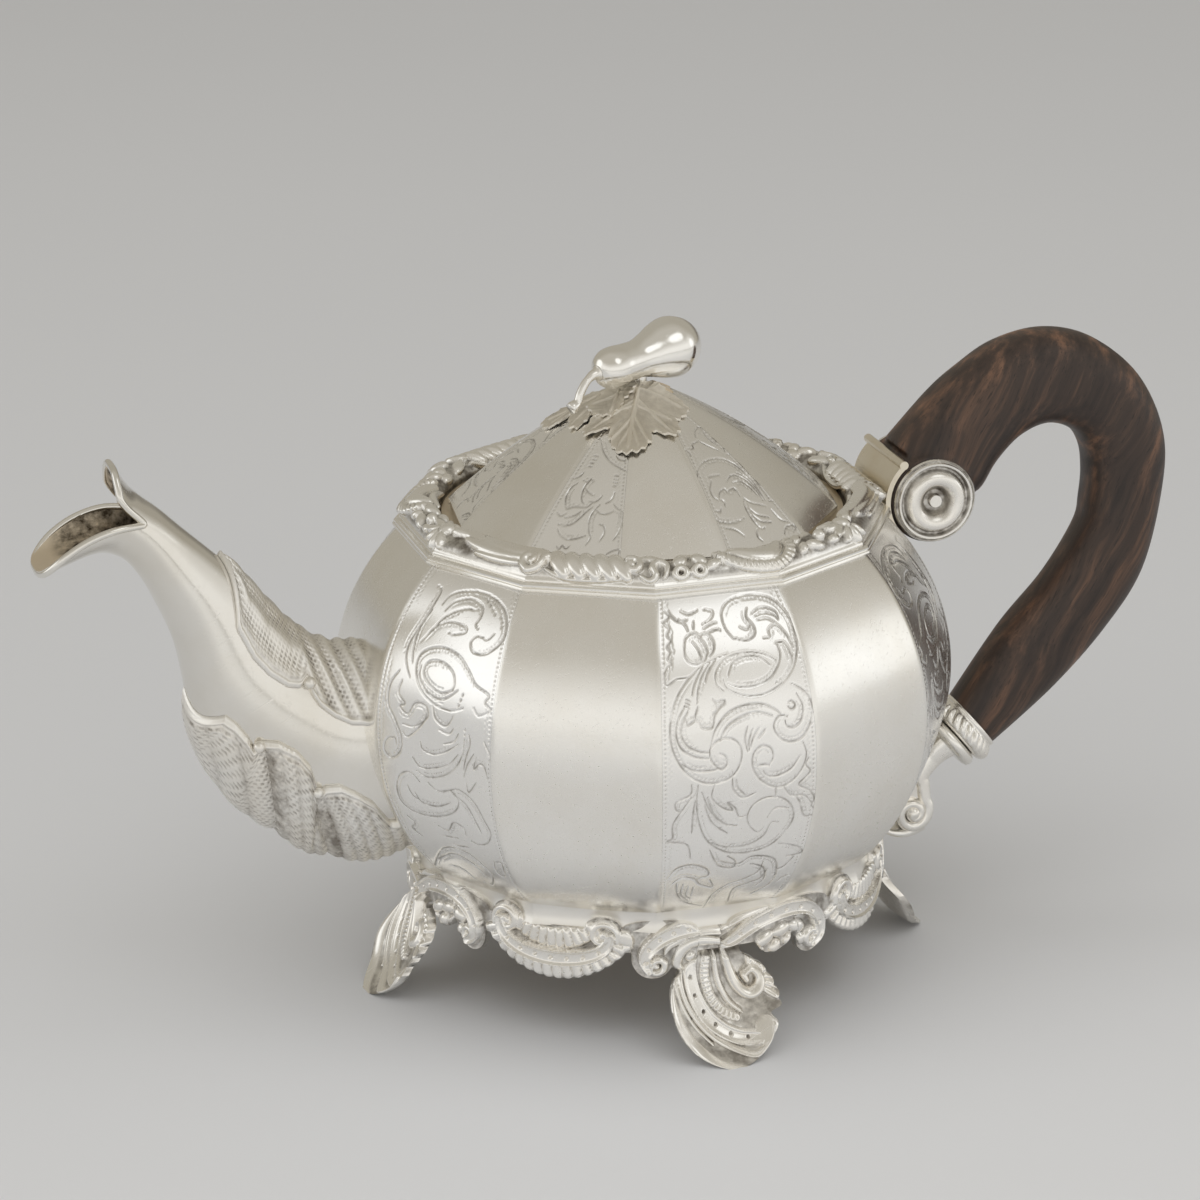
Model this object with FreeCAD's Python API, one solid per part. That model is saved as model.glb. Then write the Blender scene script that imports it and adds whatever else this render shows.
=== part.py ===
"""Footed silver teapot: faceted melon body, loose domed lid with a pear, beaked spout, wooden handle.

Millimetres. +Z is up, the feet stand on z = 0 and the body's axis is the Z axis.
The spout points along -X and the handle along +X.
"""
import FreeCAD, Part
import math
import os

V = FreeCAD.Vector

# Facets shared by the body, the foot ring, the rim and the lid
panel_count = 12
panel_step = 360.0 / panel_count
half_panel = math.radians(panel_step / 2)

# Fits
solder_gap = 0.05
seat_gap = 0.1
running_gap = 0.35
bore_gap = 0.05
cut_margin = 1.0

# Lid, radius taken to the middle of a panel
lid_radius = 39.6
lid_edge_height = 1.0
lid_dome_height = 25.0
lid_wall = 0.9
lid_crown_radius = 4.0
lid_arch = 0.64
lid_turn = 22.0
lid_play = 1.2

# Body, radii taken to the middle of a panel
border_width = 7.3
belly_radius = 63.3
belly_height = 65.0
base_radius = 48.8
base_height = 30.5
rim_height = 98.5
body_wall = 0.9
base_plate_thickness = 1.0

# Mouth
collar_flange = 1.0
collar_ledge_rise = 2.1
collar_guide_radius = 36.7
collar_guide_wall = 1.0
collar_guide_depth = 5.5
border_height = 5.8
border_outer_height = 1.6
border_inner_height = 3.2
border_crest_inset = 3.3
border_bulge_out = 0.9
rim_wire_width = 1.3
rim_wire_height = 1.8

# Lid bezel
bezel_wall = 1.0
bezel_depth = 5.0
bezel_flange = 0.6
bezel_play = 1.2

# Finial
pear_small_radius = 4.65
pear_waist_radius = 4.3
pear_waist_share = 0.4
pear_lobe_turn = 20.0
pear_large_radius = 6.3
pear_lobe_distance = 15.5
pear_offset = 0.5
stem_radius = 0.9
stem_drop = 5.6
stem_run = 5.4
stem_bend_run = 3.35
stem_bend_drop = 1.7
leaf_thickness = 0.7
leaf_length = 21.0
leaf_half_width = 8.6
leaf_spread = 40.0
leaf_pad_radius = 6.0
leaf_lift = 0.1
# Half outline of a leaf, as shares of its length and half width
leaf_lobes = [(0.0, 0.30), (0.30, 0.62), (0.44, 0.98), (0.56, 0.72),
              (0.70, 1.0), (0.76, 0.52), (0.92, 0.50)]
stud_radius = 1.3
stud_bore_depth = 4.0
washer_radius = 4.2
washer_thickness = 0.8
nut_radius = 3.2
nut_height = 2.6
nut_sides = 6

# Spout stations: upper point, lower point and half width, as offsets from the belly of the body
spout_wall = 1.1
spout_stations = [
    ((9.3, 12.5), (14.3, -31.4), 13.6),
    ((-4.5, 13.6), (-3.5, -32.6), 13.6),
    ((-12.2, 18.2), (-17.5, -25.5), 13.0),
    ((-16.4, 22.4), (-28.0, -15.0), 11.8),
    ((-19.6, 26.2), (-34.3, -2.5), 10.4),
    ((-24.0, 31.8), (-36.0, 9.8), 9.0),
    ((-28.8, 36.6), (-37.7, 18.5), 8.0),
    ((-34.3, 41.8), (-40.7, 26.2), 7.3),
    ((-39.2, 46.6), (-44.3, 33.4), 7.2),
    ((-43.2, 50.0), (-48.6, 38.0), 7.8),
    ((-46.0, 53.0), (-55.0, 39.2), 8.8),
    ((-49.2, 58.4), (-65.2, 36.0), 9.4),
]
# Mouth cut seen from the side: the lower lip's edge, the corner of the beak, the upper lip's edge
lip_lower_edge = [(-65.2, 36.2), (-61.0, 40.4), (-55.5, 43.9), (-49.5, 45.6), (-43.2, 45.7)]
lip_upper_edge = [(-43.2, 45.7), (-45.8, 50.0), (-47.6, 54.2), (-49.4, 58.6)]
lip_cut_reach = 20.0
# Ornament on the spout: edges seen from the side, from the spout's outer curve back to the body
ornament_thickness = 1.2
shell_edge = [(-40.0, 8.6), (-32.0, 5.2), (-25.4, 0.6), (-23.8, -2.2), (-19.0, -3.2), (-14.0, -7.4),
              (-12.2, -13.2), (-8.6, -12.6), (-1.0, -18.0), (4.0, -24.0)]
shell_reach = 45.0
leaf_edge = [(-30.5, 40.0), (-27.5, 29.0), (-25.0, 22.4), (-21.2, 15.2), (-15.6, 10.8), (-12.2, 10.6),
             (-10.8, 7.6), (-6.8, 3.4), (-1.0, 1.0), (4.0, 0.0)]
leaf_reach = 30.0
strainer_hole_radius = 1.7
strainer_pitch = 6.0
strainer_ring = 6
strainer_drop = 4.0
strainer_reach = 8.0
section_points = 12
section_steps = 2

# Handle: the scroll end at the rim, then the bow, given as outer point, inner point and half width
volute_radius = 9.6
volute_half_width = 10.0
socket_plate = 1.1
socket_rise = 1.2
bow_upper = [
    ((-6.2, 10.6), (9.2, -2.6), 9.8),
    ((3.2, 20.6), (13.2, -1.2), 9.4),
    ((9.6, 25.6), (16.8, 4.4), 9.0),
    ((17.8, 30.4), (22.2, 9.6), 8.7),
    ((28.6, 32.4), (28.8, 11.8), 8.5),
    ((39.4, 29.6), (35.0, 9.6), 8.4),
    ((49.8, 21.0), (38.0, 4.8), 8.2),
    ((55.8, 8.6), (38.7, -1.2), 8.1),
    ((56.2, -4.0), (38.2, -7.0), 8.0),
]
# Lower end of the bow, as offsets from the middle of the ferrule's mouth
bow_lower = [
    ((39.1, 31.8), (24.2, 42.6), 7.8),
    ((30.6, 18.7), (17.2, 31.9), 7.4),
    ((18.6, 6.2), (7.2, 21.0), 7.0),
]
bow_end_radius = 6.6
grip_lean = 38.5
saddle_top_angle = 130.0
saddle_bottom_angle = 214.0
bead_radius = 0.95
bead_stand = 0.2
boss_radius = 8.8
boss_flange = 0.9
boss_height = 2.3
boss_rim_width = 0.9
boss_slope = 0.7
boss_dish_drop = 0.5
boss_dish_width = 1.2
boss_eye_radius = 2.9
pin_radius = 1.3
pin_head = 0.5

# Lower socket
ferrule_height = 45.0
ferrule_standoff = 15.4
ferrule_length = 4.6
ferrule_mouth_radius = 7.0
ferrule_flare_radius = 8.2
ferrule_flare_share = 0.7
ferrule_roll = 1.2
tenon_radius = 4.4
tenon_length = 3.6
knop_radius = 7.2
knop_length = 3.0
knop_round = 1.3
knop_round_share = 0.35
lower_pin_radius = 0.8
lower_pin_inset = 0.6
scroll_half_width = 3.4
scroll_radius = 4.4
scroll_drop = 14.5
scroll_standoff = 6.4
scroll_eye_half_width = 4.6
scroll_eye_inset = 1.0
scroll_neck_radius = 3.7
bracket_root_share = 0.62
bracket_tail_reach = 4.0
bracket_tail_drop = 1.0
bracket_waist = (2.6, 5.2)
scroll_start_angle = 210.0
scroll_low_angle = 295.0

# Foot
foot_ring_height = 4.5
foot_ring_cove = 1.4
foot_ring_wall = 1.6
apron_outer_radius = 50.3
apron_thickness = 2.0
apron_strip_height = 4.6
cartouche_angle = 50.0
cartouche_half_width = 15.6
cartouche_depth = 11.4
cartouche_sag = 6.8
near_scroll_angle = 24.0
far_scroll_angle = 77.0
side_scroll_radius = 4.6
side_scroll_depth = 10.6
foot_reach = 60.9
foot_thickness = 2.2
foot_flat = 3.6
foot_shell_radius = 11.7
foot_shell_rise = 10.2
foot_neck_half_width = 4.6
foot_waist_reach = 1.2
foot_waist_height = 15.9
foot_waist_drop = 0.9

# Sizes that follow from the ones above
facet = math.cos(half_panel)
border_inner_radius = lid_radius / facet + lid_play
rim_radius = border_inner_radius + border_width
ledge_height = rim_height + collar_ledge_rise + collar_flange
lid_base = ledge_height + seat_gap
lid_top = lid_base + lid_edge_height + lid_dome_height
ring_bottom = base_height - foot_ring_height
leaf_top = lid_top + leaf_lift + leaf_thickness
pear_seat = leaf_top + solder_gap


def line(start, end):
    """Straight edge in the XZ plane."""
    return Part.LineSegment(V(start[0], 0, start[1]), V(end[0], 0, end[1])).toShape()


def arc(start, middle, end):
    """Arc in the XZ plane through three points."""
    points = [V(x, 0, z) for x, z in (start, middle, end)]
    return Part.Arc(*points).toShape()


def polyline(points):
    """Straight edges in the XZ plane from point to point."""
    return [line(a, b) for a, b in zip(points, points[1:])]


def curve(points):
    """Smooth edge in the XZ plane through the points."""
    spline = Part.BSplineCurve()
    spline.interpolate([V(x, 0, z) for x, z in points])
    return spline.toShape()


def side_face(edges):
    """Flat face in the XZ plane inside a closed run of edges."""
    return Part.Face(Part.Wire(Part.__sortEdges__(edges)))


def side_block(edges, half_width):
    """Solid with the given side view, centred on the XZ plane."""
    face = side_face(edges)
    face.translate(V(0, -half_width, 0))
    return face.extrude(V(0, 2 * half_width, 0))


def outward(solid):
    """The solid with its faces turned outwards."""
    return solid if solid.Volume > 0 else solid.reversed()


def turned(edges):
    """Solid of revolution about the Z axis."""
    return outward(side_face(edges).revolve(V(0, 0, 0), V(0, 0, 1), 360))


def faceted(half_edges):
    """Solid with twelve flat-sided panels, from a half profile that starts and ends on the Z axis."""
    mirrored = [edge.mirror(V(0, 0, 0), V(1, 0, 0)) for edge in half_edges]
    face = side_face(half_edges + mirrored)
    slab = side_block(half_edges + mirrored, 2 * face.BoundBox.XMax)
    solid = slab
    for step in range(1, panel_count // 2):
        other = slab.copy()
        other.rotate(V(0, 0, 0), V(0, 0, 1), step * panel_step)
        solid = solid.common(other)
    return solid.removeSplitter().Solids[0]


def faceted_prism(radius, bottom, top):
    """Twelve-sided prism, its radius taken to the middle of a side."""
    return faceted(polyline([(0, bottom), (radius, bottom), (radius, top), (0, top)]))


def disc(radius, bottom, top):
    """Upright cylinder on the Z axis."""
    return Part.makeCylinder(radius, top - bottom, V(0, 0, bottom))


def cross_pin(x, z, radius, half_length):
    """Cylinder along Y."""
    return Part.makeCylinder(radius, 2 * half_length, V(x, -half_length, z), V(0, 1, 0))


def circle_through(first, second, third):
    """Centre and radius of the circle through three points of the XZ plane."""
    circle = arc(first, second, third).Curve
    return circle.Center.x, circle.Center.z, circle.Radius


def oval(upper, lower, half_width, growth):
    """Closed oval edge that stands on the XZ plane between an upper and a lower point."""
    middle = V((upper[0] + lower[0]) / 2, 0, (upper[1] + lower[1]) / 2)
    drop = V(lower[0] - upper[0], 0, lower[1] - upper[1]) * 0.5
    drop = drop * ((drop.Length + growth) / drop.Length)
    across = V(0, half_width + growth, 0)
    turns = [2 * math.pi * step / section_points for step in range(section_points)]
    ring = Part.BSplineCurve()
    points = [middle + drop * math.cos(turn) + across * math.sin(turn) for turn in turns]
    ring.interpolate(Points=points, PeriodicFlag=True)
    return ring.toShape()


def between(before, start, end, after, share):
    """Value on a smooth run of four even values, a share of the way from the second to the third."""
    slope_in = (end - before) / 2
    slope_out = (after - start) / 2
    cubic = 2 * start - 2 * end + slope_in + slope_out
    square = 3 * end - 3 * start - 2 * slope_in - slope_out
    return ((cubic * share + square) * share + slope_in) * share + start


def smoothed(stations):
    """Stations with further ones put in between them."""
    rows = [(*upper, *lower, width) for upper, lower, width in stations]
    rows = rows[:1] + rows + rows[-1:]
    finer = []
    for four in zip(rows, rows[1:], rows[2:], rows[3:]):
        for step in range(section_steps):
            finer.append([between(*values, step / section_steps) for values in zip(*four)])
    finer.append(rows[-1])
    return [((row[0], row[1]), (row[2], row[3]), row[4]) for row in finer]


def tube(stations, growth=0.0):
    """Solid skinned over oval sections, each with an upper point, a lower point and a half width."""
    rings = [oval(*station, growth) for station in smoothed(stations)]
    faces = [Part.makeRuledSurface(first, second) for first, second in zip(rings, rings[1:])]
    faces += [Part.Face(Part.Wire(ring)) for ring in (rings[0], rings[-1])]
    shell = Part.Shell(faces)
    shell.sewShape()
    return outward(Part.Solid(shell))


def turn_about_axis(shape, angle):
    """Copy of a shape turned about the Z axis."""
    copy = shape.copy()
    copy.rotate(V(0, 0, 0), V(0, 0, 1), angle)
    return copy


def export(name, shape):
    """Write one piece."""
    shape.exportStep("parts/" + name + ".step")


os.makedirs("parts", exist_ok=True)

# Body: the outer and inner panels are arcs about one centre
body_x, body_z, body_arc = circle_through((rim_radius, rim_height), (belly_radius, belly_height),
                                          (base_radius, base_height))


def panel_radius(height, inset=0.0):
    """Distance from the axis to the middle of a body panel at a height."""
    return body_x + math.sqrt((body_arc - inset) ** 2 - (height - body_z) ** 2)


def melon(inset):
    """Solid bounded by the body's panels, moved inwards by the inset."""
    bottom = (panel_radius(base_height, inset), base_height)
    middle = (panel_radius(belly_height, inset), belly_height)
    top = (panel_radius(rim_height, inset), rim_height)
    return faceted([line((0, base_height), bottom), arc(bottom, middle, top), line(top, (0, rim_height))])


body_outside = melon(0.0)
spout_eye_height = belly_height - strainer_drop
strainer_start = V(-belly_radius - body_wall, 0, spout_eye_height)
body_shell = body_outside.cut(melon(body_wall))
strainer_spots = [(0.0, 0.0)]
for step in range(strainer_ring):
    turn = 2 * math.pi * step / strainer_ring
    strainer_spots.append((strainer_pitch * math.cos(turn), strainer_pitch * math.sin(turn)))
for across, rise in strainer_spots:
    hole_start = strainer_start + V(0, across, rise)
    hole = Part.makeCylinder(strainer_hole_radius, strainer_reach, hole_start, V(1, 0, 0))
    body_shell = body_shell.cut(hole)
export("body_shell", body_shell)

floor_radius = panel_radius(base_height, body_wall)
export("base_plate", faceted_prism(floor_radius, base_height, base_height + base_plate_thickness))

# Mouth: shoulder plate, lid ledge and guide wall in one piece
flange_top = rim_height + collar_flange
ledge_outer_radius = border_inner_radius - 2 * solder_gap
collar_flange_radius = rim_radius - 2 * solder_gap
shoulder = faceted_prism(collar_flange_radius, rim_height, flange_top)
ledge = disc(ledge_outer_radius, flange_top, ledge_height)
guide_outside = disc(collar_guide_radius + collar_guide_wall, rim_height - collar_guide_depth, rim_height)
mouth = disc(collar_guide_radius, rim_height - 2 * collar_guide_depth, 2 * rim_height)
mouth_collar = shoulder.fuse([ledge, guide_outside]).cut(mouth).removeSplitter()
export("mouth_collar", mouth_collar)

wire_inner = collar_flange_radius + solder_gap
wire_outer = wire_inner + rim_wire_width
wire_top = rim_height + rim_wire_height
wire_middle = (wire_outer, (rim_height + wire_top) / 2)
wire_profile = [line((0, rim_height), (wire_inner, rim_height)),
                arc((wire_inner, rim_height), wire_middle, (wire_inner, wire_top)),
                line((wire_inner, wire_top), (0, wire_top))]
wire_room = faceted_prism(wire_inner, rim_height - cut_margin, wire_top + cut_margin)
rim_wire = faceted(wire_profile).cut(wire_room)
export("rim_wire", rim_wire)

border_outer = collar_flange_radius - solder_gap
border_crest = border_inner_radius + border_crest_inset
border_top = flange_top + border_height
border_shoulder = (border_outer, flange_top + border_outer_height)
border_bulge = ((border_outer + border_crest) / 2 + border_bulge_out,
                (border_shoulder[1] + border_top) / 2 + border_bulge_out)
border_profile = polyline([(0, flange_top), (border_outer, flange_top), border_shoulder])
border_profile += [arc(border_shoulder, border_bulge, (border_crest, border_top)),
                   line((border_crest, border_top), (0, border_top))]
inner_lip = (border_inner_radius, flange_top + border_inner_height)
funnel_bottom = flange_top - cut_margin
funnel_top = border_top + cut_margin
funnel = turned(polyline([(0, funnel_bottom), (border_inner_radius, funnel_bottom), inner_lip,
                          (border_crest, border_top), (border_crest, funnel_top), (0, funnel_top),
                          (0, funnel_bottom)]))
rim_border = faceted(border_profile).cut(funnel)
export("rim_border", rim_border)

# Lid: a shallow arched cone with a small flat crown under the finial
lid_shoulder = lid_base + lid_edge_height
dome_middle = (lid_radius / 2, lid_shoulder + lid_arch * lid_dome_height)
lid_x, lid_z, lid_arc = circle_through((lid_radius, lid_shoulder), dome_middle, (lid_crown_radius, lid_top))


def lid_height(radius, offset=0.0):
    """Height of the dome above the middle of a panel, moved outwards by the offset."""
    return lid_z + math.sqrt((lid_arc + offset) ** 2 - (radius - lid_x) ** 2)


def dome(offset, edge_radius, bottom):
    """Solid under the lid's panels, moved outwards by the offset, down to a level."""
    edge = (edge_radius, lid_height(edge_radius, offset))
    middle = (edge_radius / 2, lid_height(edge_radius / 2, offset))
    crown = (lid_crown_radius, lid_height(lid_crown_radius, offset))
    return faceted([line((0, bottom), (edge_radius, bottom)), line((edge_radius, bottom), edge),
                    arc(edge, middle, crown), line(crown, (0, crown[1]))])


stud_bore = disc(stud_radius + bore_gap, lid_base, 2 * lid_top)
lid_shell = dome(0.0, lid_radius, lid_base).cut(dome(-lid_wall, lid_radius - lid_wall, lid_base - lid_wall))
lid_shell = turn_about_axis(lid_shell.cut(stud_bore), lid_turn)
export("lid_shell", lid_shell)

bezel_outer = collar_guide_radius - running_gap
bezel_inner = bezel_outer - bezel_wall
bezel_flange_radius = lid_radius - lid_wall - bezel_play
bezel_bottom = ledge_height - bezel_depth
bezel_top = lid_base + bezel_flange
bezel_profile = polyline([(bezel_inner, bezel_bottom), (bezel_outer, bezel_bottom), (bezel_outer, lid_base),
                          (bezel_flange_radius, lid_base), (bezel_flange_radius, bezel_top),
                          (bezel_inner, bezel_top), (bezel_inner, bezel_bottom)])
export("lid_bezel", turned(bezel_profile))

# Finial: a pear lying on two leaves, its stem bent down to them
pear_tilt = math.asin((pear_large_radius - pear_small_radius) / pear_lobe_distance)
pear_small_centre = V(pear_offset - pear_lobe_distance / 2, 0, pear_seat + pear_small_radius)


def on_lobe(centre, radius, angle):
    """Point on a lobe of the pear's outline."""
    turn = math.radians(angle)
    return (centre + radius * math.cos(turn), radius * math.sin(turn))


small_angles = (180, 90 + pear_lobe_turn, 90 - pear_lobe_turn)
large_angles = (90 + pear_lobe_turn, 45, 0)
small_lobe = [on_lobe(0, pear_small_radius, angle) for angle in small_angles]
large_lobe = [on_lobe(pear_lobe_distance, pear_large_radius, angle) for angle in large_angles]
pear_waist = (pear_waist_share * pear_lobe_distance, pear_waist_radius)
pear_outline = [arc(*small_lobe), arc(small_lobe[-1], pear_waist, large_lobe[0]), arc(*large_lobe),
                line(large_lobe[-1], small_lobe[0])]
pear = outward(side_face(pear_outline).revolve(V(0, 0, 0), V(1, 0, 0), 360))
pear.rotate(V(0, 0, 0), V(0, 1, 0), -math.degrees(pear_tilt))
pear.translate(pear_small_centre)
stud_top = pear_seat + stud_bore_depth
pear = pear.cut(disc(stud_radius + bore_gap, lid_base, stud_top))
export("finial_pear", turn_about_axis(pear, lid_turn))

stem_start = (pear_small_centre.x - pear_small_radius * math.cos(pear_tilt) - solder_gap,
              pear_small_centre.z - pear_small_radius * math.sin(pear_tilt))
stem_end = (stem_start[0] - stem_run, stem_start[1] - stem_drop)
stem_middle = (stem_start[0] - stem_bend_run, stem_start[1] - stem_bend_drop)
stem_path = Part.Wire(arc(stem_start, stem_middle, stem_end))
stem_ring = Part.Wire(Part.Circle(V(stem_start[0], 0, stem_start[1]), stem_path.Edges[0].tangentAt(0),
                                  stem_radius).toShape())
finial_stem = stem_path.makePipeShell([stem_ring], True, True)
finial_stem = turn_about_axis(finial_stem, lid_turn).cut(turn_about_axis(pear, lid_turn))

# Leaves: lobed outlines cut from a skin that follows the dome
leaf_points = [(u * leaf_length, v * leaf_half_width) for u, v in leaf_lobes]
leaf_points += [(leaf_length, 0.0)]
leaf_points += [(u * leaf_length, -v * leaf_half_width) for u, v in reversed(leaf_lobes)]
leaf_outline = Part.makePolygon([V(x, y, 0) for x, y in leaf_points + leaf_points[:1]])
leaf_prism = Part.Face(leaf_outline).extrude(V(0, 0, 2 * lid_top))
skin = dome(leaf_lift + leaf_thickness, lid_radius, lid_base)
skin = turn_about_axis(skin.cut(dome(leaf_lift, lid_radius, lid_base - lid_wall)), lid_turn)
leaf_prisms = [turn_about_axis(leaf_prism, lid_turn + 180 + side * leaf_spread) for side in (-1, 1)]
pad = disc(leaf_pad_radius, lid_base, 2 * lid_top)
finial_leaves = skin.common(pad.fuse(leaf_prisms)).cut(stud_bore)
export("finial_leaves", finial_leaves)
under_leaves = dome(leaf_lift + leaf_thickness + solder_gap, lid_radius, lid_base)
export("finial_stem", finial_stem.cut(turn_about_axis(under_leaves, lid_turn)))

crown_underside = lid_height(lid_crown_radius, -lid_wall)
washer_top = crown_underside - solder_gap
washer_inside = dome(-lid_wall - solder_gap, lid_radius - lid_wall, lid_base)
washer = disc(washer_radius, washer_top - washer_thickness, washer_top).cut(stud_bore)
washer = washer.common(turn_about_axis(washer_inside, lid_turn))
export("finial_washer", washer)
nut_top = washer_top - washer_thickness
nut_turns = [2 * math.pi * step / nut_sides for step in range(nut_sides + 1)]
nut_corners = [V(nut_radius * math.cos(a), nut_radius * math.sin(a), nut_top - nut_height) for a in nut_turns]
nut = Part.Face(Part.makePolygon(nut_corners)).extrude(V(0, 0, nut_height)).cut(stud_bore)
export("finial_nut", nut)
stud_bottom = nut_top - nut_height - stud_radius
export("finial_stud", disc(stud_radius, stud_bottom, stud_top - bore_gap))


# Spout: a hollow tube, its mouth cut to a beak
def from_belly(points):
    """Points given from the belly's spout side, moved to their place."""
    return [(x - belly_radius, z + belly_height) for x, z in points]


stations = [(from_belly([upper])[0], from_belly([lower])[0], width) for upper, lower, width in spout_stations]
spout_outside = tube(stations)
lower_edge = from_belly(lip_lower_edge)
upper_edge = from_belly(lip_upper_edge)
far_x = lower_edge[0][0] - lip_cut_reach
above_lip = upper_edge[-1][1] + lip_cut_reach
mouth_corners = [upper_edge[-1], (upper_edge[-1][0], above_lip), (far_x, above_lip), (far_x, lower_edge[0][1]),
                 lower_edge[0]]
mouth_cut = side_block([curve(lower_edge), curve(upper_edge)] + polyline(mouth_corners), belly_radius)
spout = spout_outside.cut(tube(stations, -spout_wall)).cut(mouth_cut).cut(body_outside)
spout = max(spout.Solids, key=lambda solid: solid.Volume)
export("spout", spout)

foot_ring_outside = faceted_prism(base_radius, ring_bottom, base_height)
ornament_skin = tube(stations, ornament_thickness + solder_gap).cut(tube(stations, solder_gap))
ornament_skin = ornament_skin.cut(body_outside.fuse(foot_ring_outside))


def ornament(edge, reach):
    """Part of the skin over the spout on one side of an edge seen from the side."""
    points = from_belly(edge)
    (start_x, start_z), (end_x, end_z) = points[0], points[-1]
    corners = [points[-1], (end_x, end_z + reach), (start_x, start_z + reach), points[0]]
    region = side_block(polyline(points) + polyline(corners), belly_radius)
    return max(ornament_skin.common(region).Solids, key=lambda solid: solid.Volume)


export("spout_shell", ornament(shell_edge, -shell_reach))
export("spout_leaf", ornament(leaf_edge, leaf_reach))

# Handle: the scroll end stands off the rim by the saddle plate
volute_x = wire_outer + socket_plate + solder_gap + volute_radius
volute_z = rim_height + socket_rise
saddle_inner = volute_radius + solder_gap
saddle_outer = saddle_inner + socket_plate
bead_turn = math.radians(saddle_top_angle)
bead_reach = saddle_outer + bead_stand
bead_x = volute_x + bead_reach * math.cos(bead_turn)
bead_z = volute_z + bead_reach * math.sin(bead_turn)


def from_volute(points):
    """Points given from the scroll's centre, moved to their place."""
    return [(x + volute_x, z + volute_z) for x, z in points]


ferrule_x = panel_radius(ferrule_height) + ferrule_standoff
grip = math.radians(grip_lean)
down = (-math.cos(grip), -math.sin(grip))
across_grip = (math.sin(grip), -math.cos(grip))


def from_ferrule(points):
    """Points given from the middle of the ferrule's mouth, moved to their place."""
    return [(x + ferrule_x, z + ferrule_height) for x, z in points]


def along_grip(distance, side=0.0):
    """Point on the lower grip's axis, a distance below the ferrule's mouth, and off to the outer side."""
    return (ferrule_x + distance * down[0] + side * across_grip[0],
            ferrule_height + distance * down[1] + side * across_grip[1])


def grip_turned(profile):
    """Solid turned about the lower grip's axis, from closed points of distance and radius."""
    solid = outward(side_face(polyline(profile + profile[:1])).revolve(V(0, 0, 0), V(1, 0, 0), 360))
    solid.rotate(V(0, 0, 0), V(0, 1, 0), 180 - grip_lean)
    solid.translate(V(ferrule_x, 0, ferrule_height))
    return solid


bow = [(from_volute([outer])[0], from_volute([inner])[0], width) for outer, inner, width in bow_upper]
bow += [(from_ferrule([outer])[0], from_ferrule([inner])[0], width) for outer, inner, width in bow_lower]
bow_end = [along_grip(-solder_gap, side * bow_end_radius) for side in (1, -1)]
bow.append((*bow_end, bow_end_radius))
wood_scroll = cross_pin(volute_x, volute_z, volute_radius, volute_half_width)
tenon_root = -2 * tenon_length
tenon = grip_turned([(tenon_root, 0), (tenon_root, tenon_radius),
                     (tenon_length, tenon_radius), (tenon_length, 0)])
volute_bore = cross_pin(volute_x, volute_z, pin_radius + bore_gap, 2 * volute_half_width)
bead_room = cross_pin(bead_x, bead_z, bead_radius + seat_gap, 2 * volute_half_width)
lower_pin_spot = along_grip(tenon_length / 2)
lower_pin_bore = cross_pin(*lower_pin_spot, lower_pin_radius + bore_gap, 2 * ferrule_flare_radius)
handle = tube(bow).fuse([wood_scroll, tenon]).cut(volute_bore).cut(bead_room).cut(lower_pin_bore)
export("handle", handle.removeSplitter())

rim_outside = faceted_prism(wire_outer + solder_gap, rim_height, flange_top + border_height)
saddle_middle_angle = (saddle_top_angle + saddle_bottom_angle) / 2
saddle_angles = (saddle_top_angle, saddle_middle_angle, saddle_bottom_angle)
saddle_turns = [math.radians(angle) for angle in saddle_angles]


def saddle_arc(radius):
    """Arc of the saddle about the scroll's centre."""
    return [(volute_x + radius * math.cos(a), volute_z + radius * math.sin(a)) for a in saddle_turns]


saddle_inside, saddle_outside = saddle_arc(saddle_inner), saddle_arc(saddle_outer)
saddle_ends = [line(saddle_inside[end], saddle_outside[end]) for end in (0, -1)]
upper_socket = side_block([arc(*saddle_inside), arc(*saddle_outside)] + saddle_ends, volute_half_width)
bead = cross_pin(bead_x, bead_z, bead_radius, volute_half_width + bead_radius)
upper_socket = upper_socket.cut([body_outside, rim_outside, bead])
upper_socket = max(upper_socket.Solids, key=lambda solid: solid.Volume)
export("upper_socket", upper_socket)
export("upper_socket_bead", bead)

boss_shoulder = boss_radius - boss_rim_width
boss_profile = [(0, 0), (boss_radius, 0), (boss_radius, boss_flange), (boss_shoulder, boss_flange),
                (boss_shoulder - boss_slope, boss_height),
                (boss_eye_radius + boss_dish_width, boss_height - boss_dish_drop),
                (boss_eye_radius, boss_flange), (0, boss_flange)]
boss = turned(polyline(boss_profile + boss_profile[:1]))
for name, side in (("volute_boss_front", -1), ("volute_boss_back", 1)):
    placed = boss.copy()
    placed.rotate(V(0, 0, 0), V(1, 0, 0), -90 * side)
    placed.translate(V(volute_x, side * (volute_half_width + solder_gap), volute_z))
    export(name, placed.cut(volute_bore))
pin_half_length = volute_half_width + solder_gap + boss_flange + pin_head
export("volute_pin", cross_pin(volute_x, volute_z, pin_radius, pin_half_length))

# Lower socket: ferrule, knop and the bracket that carries them on the body
ferrule_flare = ferrule_flare_share * ferrule_length
ferrule = grip_turned([(0, 0), (0, ferrule_mouth_radius), (ferrule_flare, ferrule_flare_radius),
                       (ferrule_length, ferrule_flare_radius - ferrule_roll), (ferrule_length, 0)])
tenon_room = tenon_radius + bore_gap
tenon_floor = tenon_length + bore_gap
tenon_bore = grip_turned([(-cut_margin, 0), (-cut_margin, tenon_room),
                          (tenon_floor, tenon_room), (tenon_floor, 0)])
export("lower_ferrule", ferrule.cut(tenon_bore).cut(lower_pin_bore))
pin_room = ferrule_mouth_radius - lower_pin_inset
export("lower_pin", cross_pin(*lower_pin_spot, lower_pin_radius, pin_room))

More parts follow.
